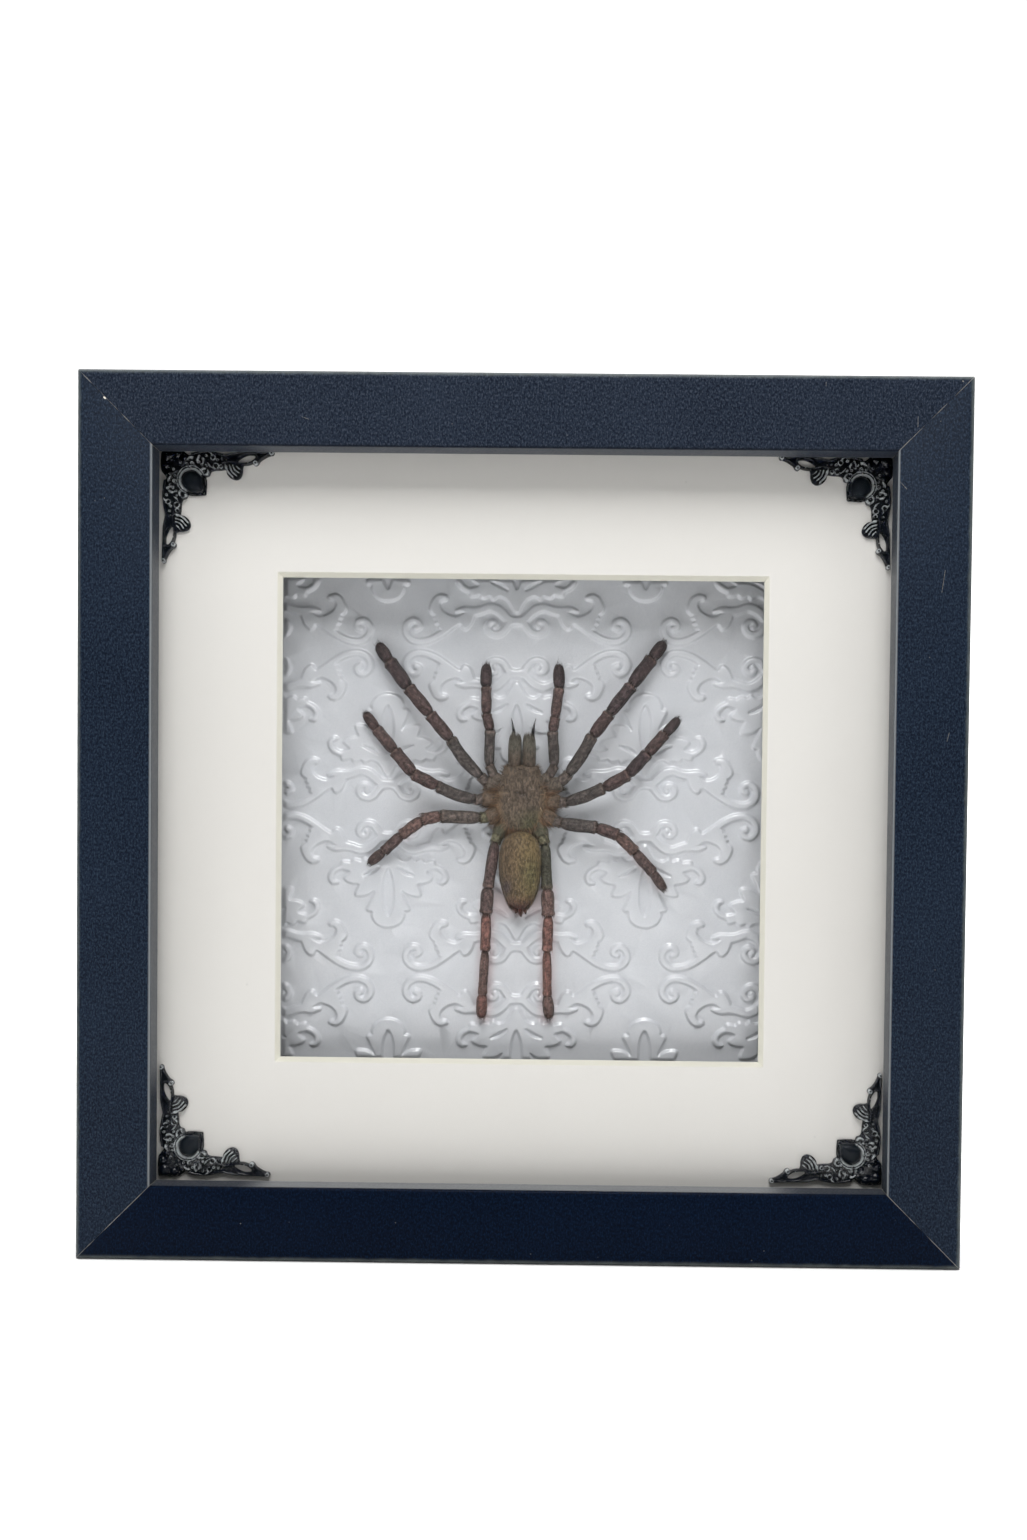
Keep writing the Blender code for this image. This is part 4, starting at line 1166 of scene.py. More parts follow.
def pigment(*colour):
    """A tone as three numbers that can be mixed."""
    return np.array(tone(*colour)[:3])


def clamp(value):
    return min(1.0, max(0.0, value))


def tint_mesh(mesh, tints):
    """Stores a tint at each point, for the materials to read."""
    layer = mesh.attributes.new("tint", "FLOAT_COLOR", "POINT")
    colours = np.column_stack([tints, np.ones(len(tints))])
    layer.data.foreach_set("color", colours.astype(np.float32).ravel())


print("the carapace's middle:", on_paper(0.0, 0.0, 0.0).round(1))

# %% [markdown]
# Every skin is a loft: rings of points joined one to the next, and closed at both ends.

# %% Skins
class Skin:
    """Rings and lobes gathered into one mesh, with a tint at each point."""

    def __init__(self):
        self.points, self.tints, self.faces = [], [], []

    def loft(self, rings, tints):
        """Joins rings of points into a closed skin. Each ring has one tint, or one for each point."""
        first, sides = len(self.points), len(rings[0])
        for ring, tint in zip(rings, tints):
            tint = np.broadcast_to(np.asarray(tint)[..., :3], (sides, 3))
            self.points.extend(ring)
            self.tints.extend(tint)
        self.faces += loft_faces(len(rings), sides, first)

    def mesh(self, name):
        mesh = faced_outward(mesh_of(name, self.points, self.faces))
        tint_mesh(mesh, np.array(self.tints))
        return mesh


# %% [markdown]
# Hair needs roots, spread evenly over a skin or thicker in places. Each triangle gets a share of the
# roots by its area, times a weight that a chooser gives it. A strand then takes seven points: three at
# its root, three at its bend and one at its tip. All the strands of a coat are worked out at once.

# %% Roots of the hair
def scatter(skin_made, count, chooser=None):
    """Random places on a skin: point, outward normal and tint. chooser weighs the faces."""
    points, tints = np.array(skin_made.points), np.array(skin_made.tints)
    quads = np.array([face for face in skin_made.faces if len(face) == 4])
    triangles = np.concatenate([quads[:, [0, 1, 2]], quads[:, [0, 2, 3]]])
    a, b, c = (points[triangles[:, k]] for k in range(3))
    normal = np.cross(b - a, c - a)
    area = np.linalg.norm(normal, axis=1) / 2
    weight = area * (chooser((a + b + c) / 3, normal / np.maximum(2 * area[:, None], 1e-9)) if chooser else 1)
    pick = random.choice(len(triangles), count, p=weight / weight.sum())
    s, t = random.random(count), random.random(count)
    flip = s + t > 1
    s, t = np.where(flip, 1 - s, s)[:, None], np.where(flip, 1 - t, t)[:, None]
    place = a[pick] + s * (b[pick] - a[pick]) + t * (c[pick] - a[pick])
    return place, normal[pick] / (2 * area[pick, None] + 1e-12), tints[triangles[pick, 0]]


# %% Strands
class Coat:
    """Strands gathered into one mesh."""

    def __init__(self):
        self.roots, self.ways, self.bends, self.sizes, self.tints = [], [], [], [], []

    def grow(self, roots, ways, spread, bends, lengths, radii, tints, glow=None):
        """Adds strands that leave along ways, a little spread, and bend over towards bends.

        lengths and radii are one value, or the least and the most. glow is a colour that is added
        to the tints, with the least and the most of it.
        """
        count = len(roots)
        if spread:
            ways = ways + random.normal(0, spread, roots.shape)
        sizes = [random.uniform(*ends, count) if np.iterable(ends) else np.full(count, ends)
                 for ends in (lengths, radii)]
        if glow:
            colour, least, most = glow
            tints = tints + colour * random.uniform(least, most, (count, 1)).clip(0)
        self.roots.append(roots)
        self.ways.append(unit(ways))
        self.bends.append(unit(bends))
        self.sizes.append(np.column_stack(sizes))
        self.tints.append(tints)

    def mesh(self, name):
        root, way, bend, size, tint = (np.concatenate(part) for part in
                                       (self.roots, self.ways, self.bends, self.sizes, self.tints))
        length, radius = size[:, :1], size[:, 1:]
        side = unit(np.cross(way, bend) + 1e-4)
        other = unit(np.cross(side, way))
        stations = []
        for share, lean, taper in ((-0.06, 0.0, 1.0), (0.45, 0.12, 0.8)):
            middle = root + way * length * share + bend * length * lean
            for a in around(3):
                stations.append(middle + radius * taper * (math.cos(a) * side + math.sin(a) * other))
        stations.append(root + way * length * 0.85 + bend * length * 0.5)
        points = np.stack(stations, 1).reshape(-1, 3)
        base = np.arange(len(root))[:, None] * 7
        quads = np.concatenate([base + [k, (k + 1) % 3, 3 + (k + 1) % 3, 3 + k] for k in range(3)])
        caps = np.concatenate([base + [2, 1, 0]] + [base + [3 + k, 3 + (k + 1) % 3, 6] for k in range(3)])
        mesh = mesh_of(name, points, quads.tolist() + caps.tolist())
        tint_mesh(mesh, np.repeat(tint, 7, axis=0))
        return mesh


# %% [markdown]
# ## Legs and pedipalps
#
# A leg is a chain of segments: trochanter, femur, patella, tibia, metatarsus and tarsus. Each one
# starts in a narrow, pale joint skin, swells, and ends in a slightly flared rim. So a limb is one loft
# of rings along the joints, with a swelling and a tint for each share of a segment. Dry skin
# shrinks in lengthwise folds, which are small waves round the ring. The joints repeat the
# solids' own, given as (across, up) from the carapace's middle. Their lifts are alike in all the legs.

# %% Joints of the limbs
LEG_LIFTS, PALP_LIFTS = (5.0, 5.4, 6.6, 6.8, 5.0, 3.2, 2.4), (5.0, 5.2, 5.8, 5.6, 4.0, 3.0)
JOINTS = {
    "leg_1_left": ((-9.8, 3.3), (-12.0, 5.3), (-20.9, 16.2), (-27.0, 23.5), (-33.7, 31.4), (-39.6, 39.3),
                   (-43.3, 44.8)),
    "leg_1_right": ((11.4, 3.4), (14.1, 6.2), (21.2, 17.6), (26.0, 24.1), (32.5, 32.7), (38.6, 40.9),
                    (42.4, 46.1)),
    "leg_2_left": ((-11.0, -1.4), (-13.4, -1.7), (-24.8, 2.3), (-31.8, 5.7), (-37.7, 12.6),
                   (-43.3, 19.1), (-47.0, 24.1)),
    "leg_2_right": ((11.2, -2.0), (13.6, -2.2), (24.7, 2.2), (31.8, 6.2), (37.4, 12.4), (42.7, 18.5),
                    (47.0, 23.3)),
    "leg_3_left": ((-9.5, -6.8), (-11.9, -7.0), (-23.6, -6.6), (-29.0, -7.7), (-35.4, -12.3),
                   (-41.0, -17.3), (-45.4, -21.1)),
    "leg_3_right": ((9.7, -7.3), (12.1, -8.4), (22.7, -9.5), (28.9, -11.6), (34.1, -16.6), (39.6, -22.7),
                    (43.4, -28.1)),
    "leg_4_left": ((-6.6, -11.7), (-7.5, -14.3), (-9.4, -27.8), (-9.9, -35.3), (-10.2, -46.5),
                   (-11.0, -60.0), (-11.3, -67.2)),
    "leg_4_right": ((6.5, -11.9), (7.4, -14.6), (8.2, -28.0), (8.6, -35.9), (8.3, -46.5), (8.5, -60.2),
                    (9.1, -67.2)),
    "pedipalp_left": ((-7.7, 5.0), (-9.5, 8.6), (-9.2, 19.0), (-10.4, 23.7), (-10.7, 31.8),
                      (-10.7, 38.9)),
    "pedipalp_right": ((8.1, 5.2), (10.0, 8.6), (9.3, 18.8), (10.0, 22.9), (11.1, 31.7), (10.9, 39.0)),
}
LIMBS = {name: [(*joint, lift) for joint, lift in zip(joints, PALP_LIFTS if "palp" in name else LEG_LIFTS)]
         for name, joints in JOINTS.items()}
RADII = {"leg_1": (1.6, 1.78, 1.85, 1.9, 1.98, 1.7), "leg_2": (1.6, 1.76, 1.82, 1.85, 1.74, 1.44),
         "leg_3": (1.65, 1.9, 1.78, 1.7, 1.58, 1.4), "leg_4": (1.6, 1.62, 1.9, 1.5, 1.32, 1.55),
         "pedipalp": (1.4, 1.52, 1.48, 1.52, 1.62)}
BOW = {"leg_1_left": 0.65, "leg_1_right": 0.35, "leg_2_left": 0.45, "leg_2_right": 0.25}
spans = [math.dist(LIMBS["leg_1_" + a][-1], LIMBS["leg_4_" + a][-1]) for a in ("left", "right")]
print("from front foot to hind foot:", [round(span, 1) for span in spans], "mm")

# %% [markdown]
# The limbs are olive and grey near the body, brown in the middle, and run to dark soot on the front
# feet and to rust and brick red on the hind ones. Each limb names its tints from hip to foot.

# %% Tints of the segments
SKIN_GAIN, LIMB_GAIN = 0.93, 0.86
OLIVE, PALE_JOINT = (84, 82, 66), (136, 112, 100)
LIMB_TINTS = {"moss": (101, 98, 78), "stone": (95, 85, 80), "slate": (80, 73, 71), "dark_moss": (70, 69, 58),
              "umber": (82, 65, 64), "chestnut": (88, 70, 68), "soot": (67, 54, 56), "mauve": (93, 76, 74),
              "rust": (109, 86, 81), "brick": (126, 90, 83)}
SEGMENT_TINTS = {
    "leg_1_left": "stone slate umber umber soot soot",
    "leg_1_right": "stone slate umber soot soot soot",
    "leg_2_left": "stone slate chestnut chestnut chestnut umber",
    "leg_2_right": "stone slate umber soot umber soot",
    "leg_3_left": "moss stone rust rust mauve mauve",
    "leg_3_right": "stone slate chestnut rust mauve mauve",
    "leg_4_left": "moss mauve mauve brick rust brick",
    "leg_4_right": "moss dark_moss rust brick brick rust",
    "pedipalp_left": "stone slate umber chestnut soot",
    "pedipalp_right": "stone slate chestnut chestnut soot",
}
SEGMENT_SHAPE = ((0.0, 0.58), (0.03, 0.66), (0.07, 0.82), (0.13, 0.93), (0.22, 0.98), (0.32, 1.01),
                 (0.42, 1.03), (0.52, 1.03), (0.62, 1.0), (0.72, 0.98), (0.82, 0.98), (0.9, 1.03),
                 (0.955, 1.07), (0.985, 0.92))
TARSUS_SHAPE = ((0.0, 0.64), (0.04, 0.76), (0.12, 0.94), (0.26, 1.04), (0.42, 1.08), (0.58, 1.06),
                (0.72, 1.0), (0.84, 0.88), (0.92, 0.70), (0.97, 0.48), (1.0, 0.18))
LIMB_SIDES = 26
STREAK = 1.1


# %% [markdown]
# One limb is lofted from hip to tip. Each point's tint is its segment's, streaked lengthwise and
# with shade painted darker towards the sides, and the joint skin and the rim get tints of their own.

# %% Loft one limb
def limb(name):
    """The skin of a limb, and each segment's start, end and direction, for its hair."""
    joints = [on_paper(*joint) for joint in LIMBS[name]]
    kind = name.rsplit("_", 1)[0]
    tints = [LIMB_TINTS[word] for word in SEGMENT_TINTS[name].split()]
    made, ways, seed = Skin(), [], sum(map(ord, name))
    rings, ring_tints = [], []
    for k, radius in enumerate(RADII[kind]):
        start, end = joints[k], joints[k + 1]
        way, across, over = directions(start, end)
        bow = BOW.get(name, 0.0) * (k == 1) * math.copysign(1.0, -across[2]) * across
        last = k == len(RADII[kind]) - 1
        base = pigment(*tints[k], LIMB_GAIN)
        for share, swell in TARSUS_SHAPE if last else SEGMENT_SHAPE:
            ring, streaks_and_side_shade = [], []
            for i, a in enumerate(around(LIMB_SIDES)):
                fold_tint = STREAK * noise.noise(Vector((0.9 * i, share * 5 + 9 * k, seed % 97)))
                # The tint is streaked lengthwise, and painted shade darkens the sides of the limb, where it
                # turns away.
                streaks_and_side_shade.append((1 + fold_tint) * (1.12 - 0.5 * abs(math.cos(a)) ** 3))
                fold_wave = 0.045 * math.sin(5 * a + seed + 2 * k) + 0.03 * math.sin(9 * a + 3 * k)
                lump = 0.07 * noise.noise(Vector((a * 1.5, share * 3 + k * 7, seed)))
                reach = radius * swell * (1 + (fold_wave + lump) * min(1.0, 6 * share))
                ring.append(start + (end - start) * share + bow * math.sin(math.pi * share)
                            + reach * (math.cos(a) * across + 0.92 * math.sin(a) * over))
            rings.append(ring)
            joint_skin = max(0.0, 1 - share / 0.08) if k else 0.0
            rim = max(0.0, 1 - abs(share - 0.955) / 0.04) * 0.25 if not last else 0.0
            tint = (base + (pigment(*PALE_JOINT) - base) * rim) * (1 - 0.6 * joint_skin)
            if last:
                tint = tint * (1 - 0.35 * share ** 2)
            ring_tints.append(tint * np.array(streaks_and_side_shade)[:, None])
        ways.append((start, end, way))
    made.loft(rings, ring_tints)
    return made, ways


# %% [markdown]
# Hair on a limb lies along its segment, and it gathers in lighter and darker clumps.

# %% Clumps and lay of the hair
def clumped(places, size=0.7, contrast=1.6):
    """How much lighter or darker the hair is in each clump, as a factor for each place."""
    return np.exp(contrast * np.array([noise.noise(Vector(place / size)) for place in places]))[:, None]


def hair_lay(places, ways):
    """For each place, the direction of the segment that it is on."""
    nearest, lay = np.full(len(places), 1e9), np.zeros((len(places), 3))
    for start, end, way in ways:
        along = np.clip((places - start) @ (end - start) / ((end - start) @ (end - start)), 0, 1)
        off = np.linalg.norm(places - start - along[:, None] * (end - start), axis=1)
        closer = off < nearest
        nearest[closer], lay[closer] = off[closer], way
    return lay


# %% [markdown]
# A limb carries three kinds of hair: a short dense nap that lies along it, longer bristles that stand
# out at its sides, and near the tip the brush that a tarantula walks on, which makes the
# last segments look dark and velvety.

# %% Grow the limbs
NAP, BRISTLES, BRUSH = 1700, 420, 420
BRUSH_RADIUS = 0.035
for name in LIMBS:
    made, ways = limb(name)
    short = name.startswith("pedipalp")
    piece(name, made.mesh(name), [skin], "limb", name)
    coat = Coat()

    # The hair takes its tint from the skin below it, painted side shade included.
    places, normals, tints = scatter(made, NAP * 2 // 3 if short else NAP)
    lay = hair_lay(places, ways)
    combed = normals * 0.45 + lay + random.normal(0, 0.22, places.shape)
    glint = random.choice((0.4, 1.0, 2.2), len(places), p=(0.5, 0.34, 0.16))[:, None]
    coat.grow(places, combed, 0, lay, (0.6, 1.4), (0.04, 0.07), tints * glint * clumped(places))

    places, normals, tints = scatter(made, BRISTLES // 2 if short else BRISTLES,
                                     lambda centre, normal: 0.12 + (1 - abs(normal[:, 1])) ** 2)
    lay = hair_lay(places, ways)
    coat.grow(places, normals * 0.9 + lay * 0.55, 0.2, lay, (0.9, 2.6), (0.05, 0.085), tints * 0.45)

    tip, start = ways[-1][1], ways[-2][0]
    reach = np.linalg.norm(tip - start)
    places, normals, tints = scatter(
        made, BRUSH, lambda centre, normal: (np.linalg.norm(centre - tip, axis=1) < reach * 0.8) + 1e-4)
    lay = hair_lay(places, ways)
    coat.grow(places, normals + lay * 0.8, 0.2, lay, (0.35, 0.75), BRUSH_RADIUS, tints * 0.6)
    piece(f"{name}_hair", coat.mesh(f"{name}_hair"), [hair], "limb")

# %% [markdown]
# ## Carapace and hips
#
# The carapace is a shield: straight in front, widest behind the middle, with a raised head, a pit
# called the fovea where muscles pulled from below, and shallow grooves that run out from it between
# the legs. It is lofted from front to back as half rings. Each hip, or coxa, is a short barrel that
# comes out from under the shield to the first joint of its limb. A small mound near the front holds
# eight eyes.

# %% Carapace
CARAPACE_LIFT = 5.6
SHIELD_WIDTH = ((-11.2, 0.6), (-10.9, 3.0), (-10.3, 4.6), (-8.0, 6.2), (-4.5, 7.4), (-1.5, 7.8), (1.0, 7.7),
                (3.1, 6.8), (5.9, 5.8), (7.5, 5.4), (8.2, 5.0), (8.5, 4.2), (8.7, 0.9))
SHIELD_RISE = ((-11.2, 0.3), (-9.6, 1.5), (-7.0, 2.5), (-3.0, 3.3), (0.0, 3.7), (4.0, 4.2), (6.8, 4.0),
               (8.0, 3.3), (8.7, 1.0))
SHIELD_DRIFT = ((-10.9, 0.0), (-4.0, 0.2), (1.0, 0.4), (6.0, 0.2), (8.7, 0.05))
TAUPE, TAN, REAR_GREEN = (98, 85, 73), (126, 104, 80), (84, 82, 58)
FOVEA_TINT = (70, 60, 55)


def read(table, value):
    """Reads a value from a table of (key, value) pairs, on the straight line between two of them."""
    keys, values = zip(*table)
    return np.interp(value, keys, values)


def shield_lift(x, z):
    """The carapace's height over its base at a place, with its fovea and grooves."""
    half = read(SHIELD_WIDTH, z)
    share = min(1.0, abs(x) / max(half, 0.01))
    lift = read(SHIELD_RISE, z) * (1 - share ** 2.4) ** 0.62
    lift -= 0.9 * math.exp(-((x / 1.1) ** 2 + (z / 0.75) ** 2))
    distance, bearing = math.hypot(x, z), math.atan2(z, x)
    for groove in (0.72, 0.12, -0.42, -1.02):
        for turn in (groove, math.pi - groove):
            off = math.remainder(bearing - turn, 2 * math.pi) * distance
            lift -= 0.30 * math.exp(-(off / 0.5) ** 2) * min(1.0, distance / 2.5) * (1 - share ** 4)
    lift += 0.75 * math.exp(-((x / 1.1) ** 2 + ((z - 7.1) / 0.8) ** 2))
    return lift


def shield_tint(x, z):
    """Taupe, greenish at the rear, orange tan at the rim, darker in the middle."""
    tint, rear, rim = (pigment(*colour, SKIN_GAIN) for colour in (TAUPE, REAR_GREEN, TAN))
    tint += (rear - tint) * clamp((-3.0 - z) / 5) * (0.55 + 0.4 * math.tanh((x - 0.5) / 2))
    share = abs(x) / read(SHIELD_WIDTH, z)
    tint += (rim - tint) * clamp((share - 0.68) / 0.3) * clamp((3.5 - z) / 4)
    dark = math.exp(-((x / 1.6) ** 2 + (z / 1.3) ** 2))
    tint += (pigment(*FOVEA_TINT) - tint) * dark * 0.8
    ray = Vector((9.0 * math.atan2(z, x), 0.3 * math.hypot(x, z), 3.0))
    return tint * (1 + 0.4 * noise.noise(ray) + 0.25 * noise.noise(Vector((2.1 * x, 0.4 * z, 8.0))))


# %% Loft the shield
front_body = Skin()
rings, ring_tints = [], []
half_count = 28
for z in np.concatenate([[-11.2, -11.05], np.linspace(-10.9, 8.0, 56), [8.3, 8.5, 8.62, 8.7]]):
    half = read(SHIELD_WIDTH, z)
    ring, tint = [], []
    for side in (1, -1):
        for i in range(half_count):
            a = math.pi * (i + 0.5) / half_count
            x = side * half * math.cos(a)
            lift = shield_lift(x, z) if side == 1 else -0.35 - 0.6 * math.sin(a)
            ring.append(on_paper(read(SHIELD_DRIFT, z) + x, z, CARAPACE_LIFT + lift))
            tint.append(shield_tint(x, z))
    rings.append(ring)
    ring_tints.append(tint)
front_body.loft(rings, ring_tints)
print("shield:", len(front_body.faces), "faces")

# %% [markdown]
# The hips join the same skin as the shield, because the two hold together when dry.

# %% Hips
COXA_TAN, COXA_GREY = (102, 86, 72), (94, 84, 75)
HIPS = {"leg_1": (2.3, COXA_GREY), "leg_2": (2.15, COXA_TAN), "leg_3": (2.15, COXA_TAN),
        "leg_4": (2.15, OLIVE), "pedipalp": (1.75, COXA_GREY)}
COXA_SHAPE = ((0.0, 0.82), (0.15, 0.98), (0.4, 1.06), (0.65, 1.04), (0.85, 0.98), (0.96, 0.85), (1.0, 0.6))
for name, joints in LIMBS.items():
    hip = Vector(joints[0])
    root = Vector((hip.x * 0.45, hip.y * 0.5 - 0.6, 3.7))
    tip = hip + (hip - root).normalized() * 0.7
    start, end = on_paper(*root), on_paper(*tip)
    way, across, over = directions(start, end)
    radius, hip_tint = HIPS[name.rsplit("_", 1)[0]]
    base = tone(*hip_tint, SKIN_GAIN)
    rings = []
    for share, swell in COXA_SHAPE:
        ring = []
        for a in around(18):
            lump = 1 + 0.3 * noise.noise(Vector((2 * a, 5 * share, hip.x)))
            ring.append(start + (end - start) * share
                        + radius * swell * lump * (math.cos(a) * across + 0.95 * math.sin(a) * over))
        rings.append(ring)
    front_body.loft(rings, [base] * len(rings))
print("with hips:", len(front_body.faces), "faces")

# %% Eyes
eyes = Skin()
for x, z, radius in ((-0.32, 7.35, 0.17), (0.32, 7.35, 0.17), (-0.75, 7.55, 0.12), (0.75, 7.55, 0.12),
                     (-0.85, 7.05, 0.11), (0.85, 7.05, 0.11), (-0.55, 6.85, 0.09), (0.55, 6.85, 0.09)):
    middle = on_paper(read(SHIELD_DRIFT, z) + x, z, CARAPACE_LIFT + shield_lift(x, z) + 0.02)
    rings = []
    for k in range(1, 6):
        rise, wide = radius * math.cos(math.pi * k / 6), radius * math.sin(math.pi * k / 6)
        rings.append([middle + np.array((wide * math.cos(a), rise, wide * math.sin(a)))
                      for a in around(10)])
    eyes.loft(rings, [tone(12, 10, 12)] * 5)

piece("carapace", front_body.mesh("carapace"), [body_skin], "cuticle", "carapace")
piece("eyes", eyes.mesh("eyes"), [horn], "fang")

# %% [markdown]
# The shield's hair is short and lies back from the fovea. A longer, paler fringe stands round the rim
# and on the hips, and fine orange wisps run out over the hips. They give the body its soft edge.

# %% Hair of the front body
SHIELD_NAP, SHIELD_FRINGE, SHIELD_WISPS = 6500, 3600, 3000
PALE_HAIR, ORANGE_HAIR = pigment(162, 132, 100), pigment(178, 138, 108)
middle = on_paper(0.4, 0.0, CARAPACE_LIFT)


def away_from_middle(places):
    """The direction over the paper from the carapace's middle to each place."""
    return unit((places - middle) * (1.0, 0.0, 1.0))


coat = Coat()
places, normals, tints = scatter(front_body, SHIELD_NAP,
                                 lambda centre, normal: (normal[:, 1] < 0.2) + 0.05)
outward = away_from_middle(places)
lay = unit(outward + np.array((0.0, 0.0, -0.5)))
glint = random.choice((0.45, 1.05, 2.2), len(places), p=(0.45, 0.38, 0.17))[:, None]
coat.grow(places, normals * 0.4 + lay, 0.2, lay, (0.6, 1.4), (0.04, 0.07),
          tints * glint * clumped(places, size=0.55, contrast=1.5))

places, normals, tints = scatter(front_body, SHIELD_FRINGE,
                                 lambda centre, normal: np.exp(-((np.abs(normal[:, 1]) / 0.5) ** 2)))
outward = away_from_middle(places)
coat.grow(places, normals + outward * 0.6, 0.3, outward, (0.7, 2.0), (0.04, 0.075), tints * 0.45,
          glow=(PALE_HAIR, -0.1, 0.75))


# %% Wisps over the hips
def near_rim(centre, normal):
    """Most where the shield's edge, close to an ellipse, passes over the hips."""
    out = np.hypot((centre[:, 0] - middle[0]) / 7.7, (centre[:, 2] - middle[2] + 2.2) / 8.8)
    return np.exp(-(((out - 1) / 0.12) ** 2)) * (centre[:, 2] < middle[2] + 2.5) + 1e-6


places, normals, tints = scatter(front_body, SHIELD_WISPS, near_rim)
outward = away_from_middle(places)
coat.grow(places, normals * 0.5 + outward * 1.2, 0.35, outward, (1.2, 3.4), (0.035, 0.065), tints * 0.4,
          glow=(ORANGE_HAIR, -0.3, 1.1))
piece("carapace_hair", coat.mesh("carapace_hair"), [hair], "cuticle")

# %% [markdown]
# ## Abdomen
#
# The abdomen has shrunk as it dried. It is blunt in front, where it tucks up to the carapace, full in
# the middle and drawn to a point at the spinnerets, with a sunken dark patch at one side of the rear.
# It could be a sculpted ball, but a loft from a table of widths is exact and quick to change. Its hair
# is the palest on the spider and lies straight back, golden where it catches the light.

# %% Abdomen
ABDOMEN_LIFT = 5.6
ABDOMEN_WIDTH = ((-34.0, 0.8), (-33.6, 1.8), (-32.9, 2.8), (-31.8, 3.7), (-30.2, 4.6), (-28.1, 5.4),
                 (-25.0, 6.05), (-22.0, 6.35), (-19.5, 6.4), (-17.5, 6.25), (-15.6, 5.85), (-14.0, 5.2),
                 (-12.6, 4.2), (-11.7, 3.0), (-11.2, 1.8), (-11.0, 0.7))
ABDOMEN_RISE = 0.80
GOLD, SIDE_BROWN, SIDE_GREEN = (118, 101, 70), (98, 81, 65), (92, 90, 58)
REAR_RED, PATCH = (94, 63, 56), (78, 67, 67)
ABDOMEN_HAIRS = 7500


def abdomen_tint(x, z):
    """Golden, browner at the left, green at the right, red at the tip, and dark in the sunken patch."""
    tint, brown, green, red = (pigment(*colour, SKIN_GAIN)
                               for colour in (GOLD, SIDE_BROWN, SIDE_GREEN, REAR_RED))
    tint += (brown - tint) * (0.5 + 0.5 * math.tanh((-x - 0.5) / 2.5)) * 0.8
    tint += (green - tint) * math.exp(-(((x - 3.4) / 2.6) ** 2 + ((z + 24) / 5) ** 2)) * 0.7
    tint += (red - tint) * clamp((-29.5 - z) / 4)
    spot = math.exp(-(((x + 3.9) / 1.5) ** 2 + ((z + 27.6) / 2.2) ** 2))
    tint = tint + (pigment(*PATCH) - tint) * spot
    return tint * (1 + 0.3 * noise.noise(Vector((2.0 * x, 0.8 * z, 5.0))))


# %% Loft the abdomen
abdomen = Skin()
rings, ring_tints = [], []
for z in np.concatenate([[-34.0, -33.8], np.linspace(-33.6, -11.7, 48), [-11.4, -11.2, -11.0]]):
    half = read(ABDOMEN_WIDTH, z)
    ring, tint = [], []
    for a in around(48):
        x, over = half * math.cos(a), half * ABDOMEN_RISE * math.sin(a)
        sag = 0.9 * math.exp(-(((x + 3.8) / 1.6) ** 2 + ((z + 27.4) / 2.2) ** 2)) * (math.sin(a) > 0)
        lump = 0.22 * noise.noise(Vector((x / 2.4, z / 2.4, 4.0)))
        ring.append(on_paper(0.05 + x, z, ABDOMEN_LIFT + over - sag + lump * math.sin(a)))
        tint.append(abdomen_tint(x, z))
    rings.append(ring)
    ring_tints.append(tint)
abdomen.loft(rings, ring_tints)
piece("abdomen", abdomen.mesh("abdomen"), [body_skin], "abdomen", "abdomen")

# %% Hair of the abdomen
coat = Coat()
places, normals, tints = scatter(abdomen, ABDOMEN_HAIRS,
                                 lambda centre, normal: (normal[:, 1] < 0.35) + 0.1)
lay = unit(np.array((0.0, 0.0, -1.0)) + normals * 0.15 + random.normal(0, 0.12, places.shape))
glint = random.choice((0.4, 1.0, 1.9, 3.0), len(places), p=(0.4, 0.34, 0.2, 0.06))[:, None]
coat.grow(places, normals * 0.35 + lay, 0.15, lay, (0.8, 1.9), (0.045, 0.075),
          tints * glint * clumped(places, size=0.55, contrast=1.5))
piece("abdomen_hair", coat.mesh("abdomen_hair"), [hair], "abdomen")

# %% [markdown]
# ## Spinnerets, jaws and fangs
#
# The spinnerets are three little fingers at the tip of the abdomen. The chelicerae are two blunt
# barrels side by side in front of the head, with hair combed forward, and each ends in one
# curved black fang. All of them are tapered lofts again, so one short function makes them.

# %% A tapered loft
def finger(made, path, sides=14, flat=1.0):
    """Adds a loft along stations of (x, z, lift, radius, tint), as high as it is wide times flat."""
    stations = curve_through([(*on_paper(x, z, lift), radius, *tint[:3])
                              for x, z, lift, radius, tint in path], 4)
    rings, tints = [], []
    for k, station in enumerate(stations):
        after, before = stations[min(k + 1, len(stations) - 1)], stations[max(k - 1, 0)]
        _, across, over = directions(before[:3], after[:3])
        rings.append([station[:3] + max(station[3], 0.02) * (math.cos(a) * across + flat * math.sin(a) * over)
                      for a in around(sides)])
        tints.append(station[4:7])
    made.loft(rings, tints)


# %% Spinnerets
RED_HORN, DARK_HORN = tone(104, 62, 54), tone(66, 48, 46)
spinnerets = Skin()
for x, z_start, z_end, radius, lean in ((0.15, -34.0, -36.5, 0.62, 0.3), (-1.0, -33.7, -35.5, 0.5, -0.3),
                                        (1.5, -33.7, -35.7, 0.5, 0.4)):
    run = z_end - z_start
    finger(spinnerets, [(x, z_start, 4.8, radius, RED_HORN),
                        (x + lean * 0.2, z_start + run * 0.35, 4.8, radius, RED_HORN),
                        (x + lean * 0.6, z_start + run * 0.75, 4.6, radius * 0.75, DARK_HORN),
                        (x + lean, z_end, 4.5, radius * 0.25, DARK_HORN)])
piece("spinnerets", spinnerets.mesh("spinnerets"), [skin], "cuticle", "spinnerets")

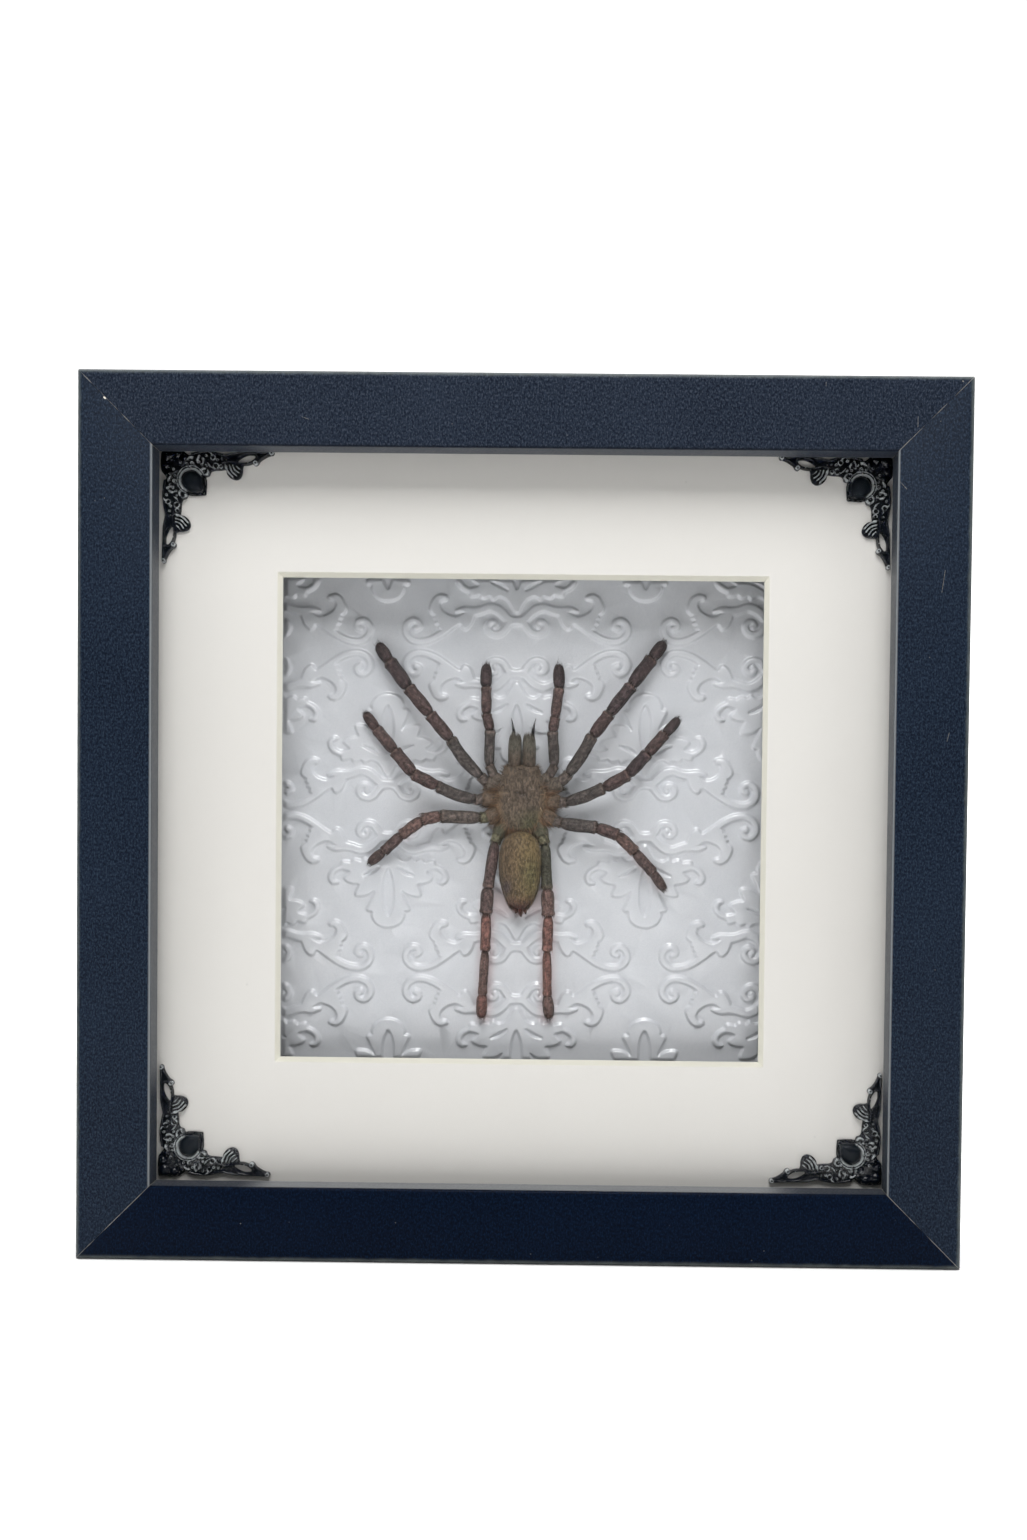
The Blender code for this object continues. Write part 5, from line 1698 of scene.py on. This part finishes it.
# %% Chelicerae and fangs
JAW_HAIRS = 1500
grey, brown, black = tone(98, 94, 84, SKIN_GAIN), tone(92, 81, 71, SKIN_GAIN), tone(14, 12, 20)
for side, sign, x, fang_x in (("left", -1, -1.8, -2.2), ("right", 1, 2.36, 3.4)):
    jaw = Skin()
    finger(jaw, [(x, 8.0, 5.5, 1.6, brown), (x, 8.7, 5.6, 1.92, brown), (x, 11.0, 5.8, 2.03, brown),
                 (x, 14.0, 5.8, 2.0, grey), (x, 15.8, 5.6, 1.86, grey), (x, 16.8, 5.5, 1.5, grey),
                 (x, 17.2, 5.4, 0.9, grey)], sides=24, flat=1.2)
    piece(f"chelicera_{side}", jaw.mesh(f"chelicera_{side}"), [body_skin], "cuticle", f"chelicera_{side}")
    coat = Coat()
    places, normals, tints = scatter(jaw, JAW_HAIRS)
    lay = np.broadcast_to(np.array((0.0, 0.0, 1.0)), places.shape)
    glint = random.choice((0.4, 1.0, 2.1), len(places), p=(0.45, 0.38, 0.17))[:, None]
    coat.grow(places, normals * 0.3 + lay, 0.12, lay, (0.7, 1.5), (0.04, 0.065), tints * glint)
    piece(f"chelicera_{side}_hair", coat.mesh(f"chelicera_{side}_hair"), [hair], "cuticle")

    fang = Skin()
    finger(fang, [(fang_x, 17.0, 5.4, 0.62, black), (fang_x + sign * 0.05, 18.6, 5.5, 0.5, black),
                  (fang_x + sign * 0.3, 20.2, 5.3, 0.33, black),
                  (fang_x + sign * 0.6, 21.7, 4.7, 0.18, black),
                  (fang_x + sign * 0.9, 22.9, 3.9, 0.04, black)])
    piece(f"fang_{side}", fang.mesh(f"fang_{side}"), [horn], "fang", f"fang_{side}")

# %% [markdown]
# ## The pane, and what is behind
#
# The pane stays the plain solid sheet it is, in clear glass. The strips inside the rabbet, the
# fibreboard, the metal points and the sawtooth hanger are carried over too. They are flat, cut and
# stamped things whose shape is right, so they only need finishes, and the steel ones a small Bevel so
# that their edges catch the light.

# %% Glass, strips, board and steel
glass = Finish("clear_glass", base_color=(0.02, 0.03, 0.028, 1.0), roughness=0.03, ior=1.45)
edge_on = glass.node("LayerWeight", (), {"Blend": 0.5}, "Facing")
smear = glass.noise(18.0, 3.0)
glass.set(alpha=0.045 + edge_on ** 3.0 * 0.5, roughness=0.02 + smear * 0.03)

strip = Finish("black_strip", specular=0.3)
grain = strip.noise(0.6, 4.0, (0.2, 1.0, 1.0))
strip.set(base_color=strip.mix(grain, tone(14, 14, 16), tone(44, 43, 44)), roughness=0.6 + grain * 0.2)
strip.bump(grain * 0.05, 0.6)

board = Finish("fibreboard", specular=0.2)
fibre, clump = board.noise(0.5, 5.0, (1.0, 1.0, 0.45)), board.noise(5.0, 4.0)
brown = board.mix(board.step(fibre, 0.3, 0.7), tone(112, 86, 60), tone(158, 128, 94))
brown = board.mix(clump * 0.5, brown, tone(132, 103, 74))
fleck = board.step(board.cells(1.7), 0.16, 0.08)
board.set(base_color=board.mix(fleck * 0.5, brown, tone(84, 60, 42)), roughness=0.78 + fibre * 0.15)
board.bump(fibre * 0.06 + clump * 0.04, 0.8)

zinc = Finish("zinc_plate", metallic=1.0)
brush, stain = zinc.noise(0.25, 3.0, (0.08, 1.0, 1.0)), zinc.noise(3.0, 3.0)
zinc.set(base_color=zinc.mix(stain, tone(176, 178, 180), tone(214, 214, 210)))
zinc.set(roughness=0.26 + brush * 0.2 + stain * 0.12)
zinc.bump(brush * 0.01, 0.5)

# %% [markdown]
# Each solid takes its finish by the start of its name. The steel ones get the Bevel too.

# %% Finishes of the carried-over solids
HANGER_BEVEL = 0.15
NODE_FINISHES = {"glazing_pane": glass, "front_fillet": strip, "depth_spacer": strip,
                 "backing_board": board, "retaining_point": zinc, "sawtooth_hanger": zinc,
                 "hanger_nail": zinc}
for start, finish in NODE_FINISHES.items():
    for name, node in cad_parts.items():
        if not name.startswith(start):
            continue
        for material_slot in node.material_slots:
            material_slot.link = "OBJECT"
            material_slot.material = finish.material
        if finish is zinc:
            edge = node.modifiers.new("edge", "BEVEL")
            edge.width = HANGER_BEVEL * MM
            edge.segments = 2
    print(start, "is finished in", finish.material.name)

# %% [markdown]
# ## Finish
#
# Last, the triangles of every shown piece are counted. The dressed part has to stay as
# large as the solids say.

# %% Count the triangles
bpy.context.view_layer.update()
total = sum(len(face.vertices) - 2 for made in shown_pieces() for face in made.data.polygons)
print("triangles in all:", total)
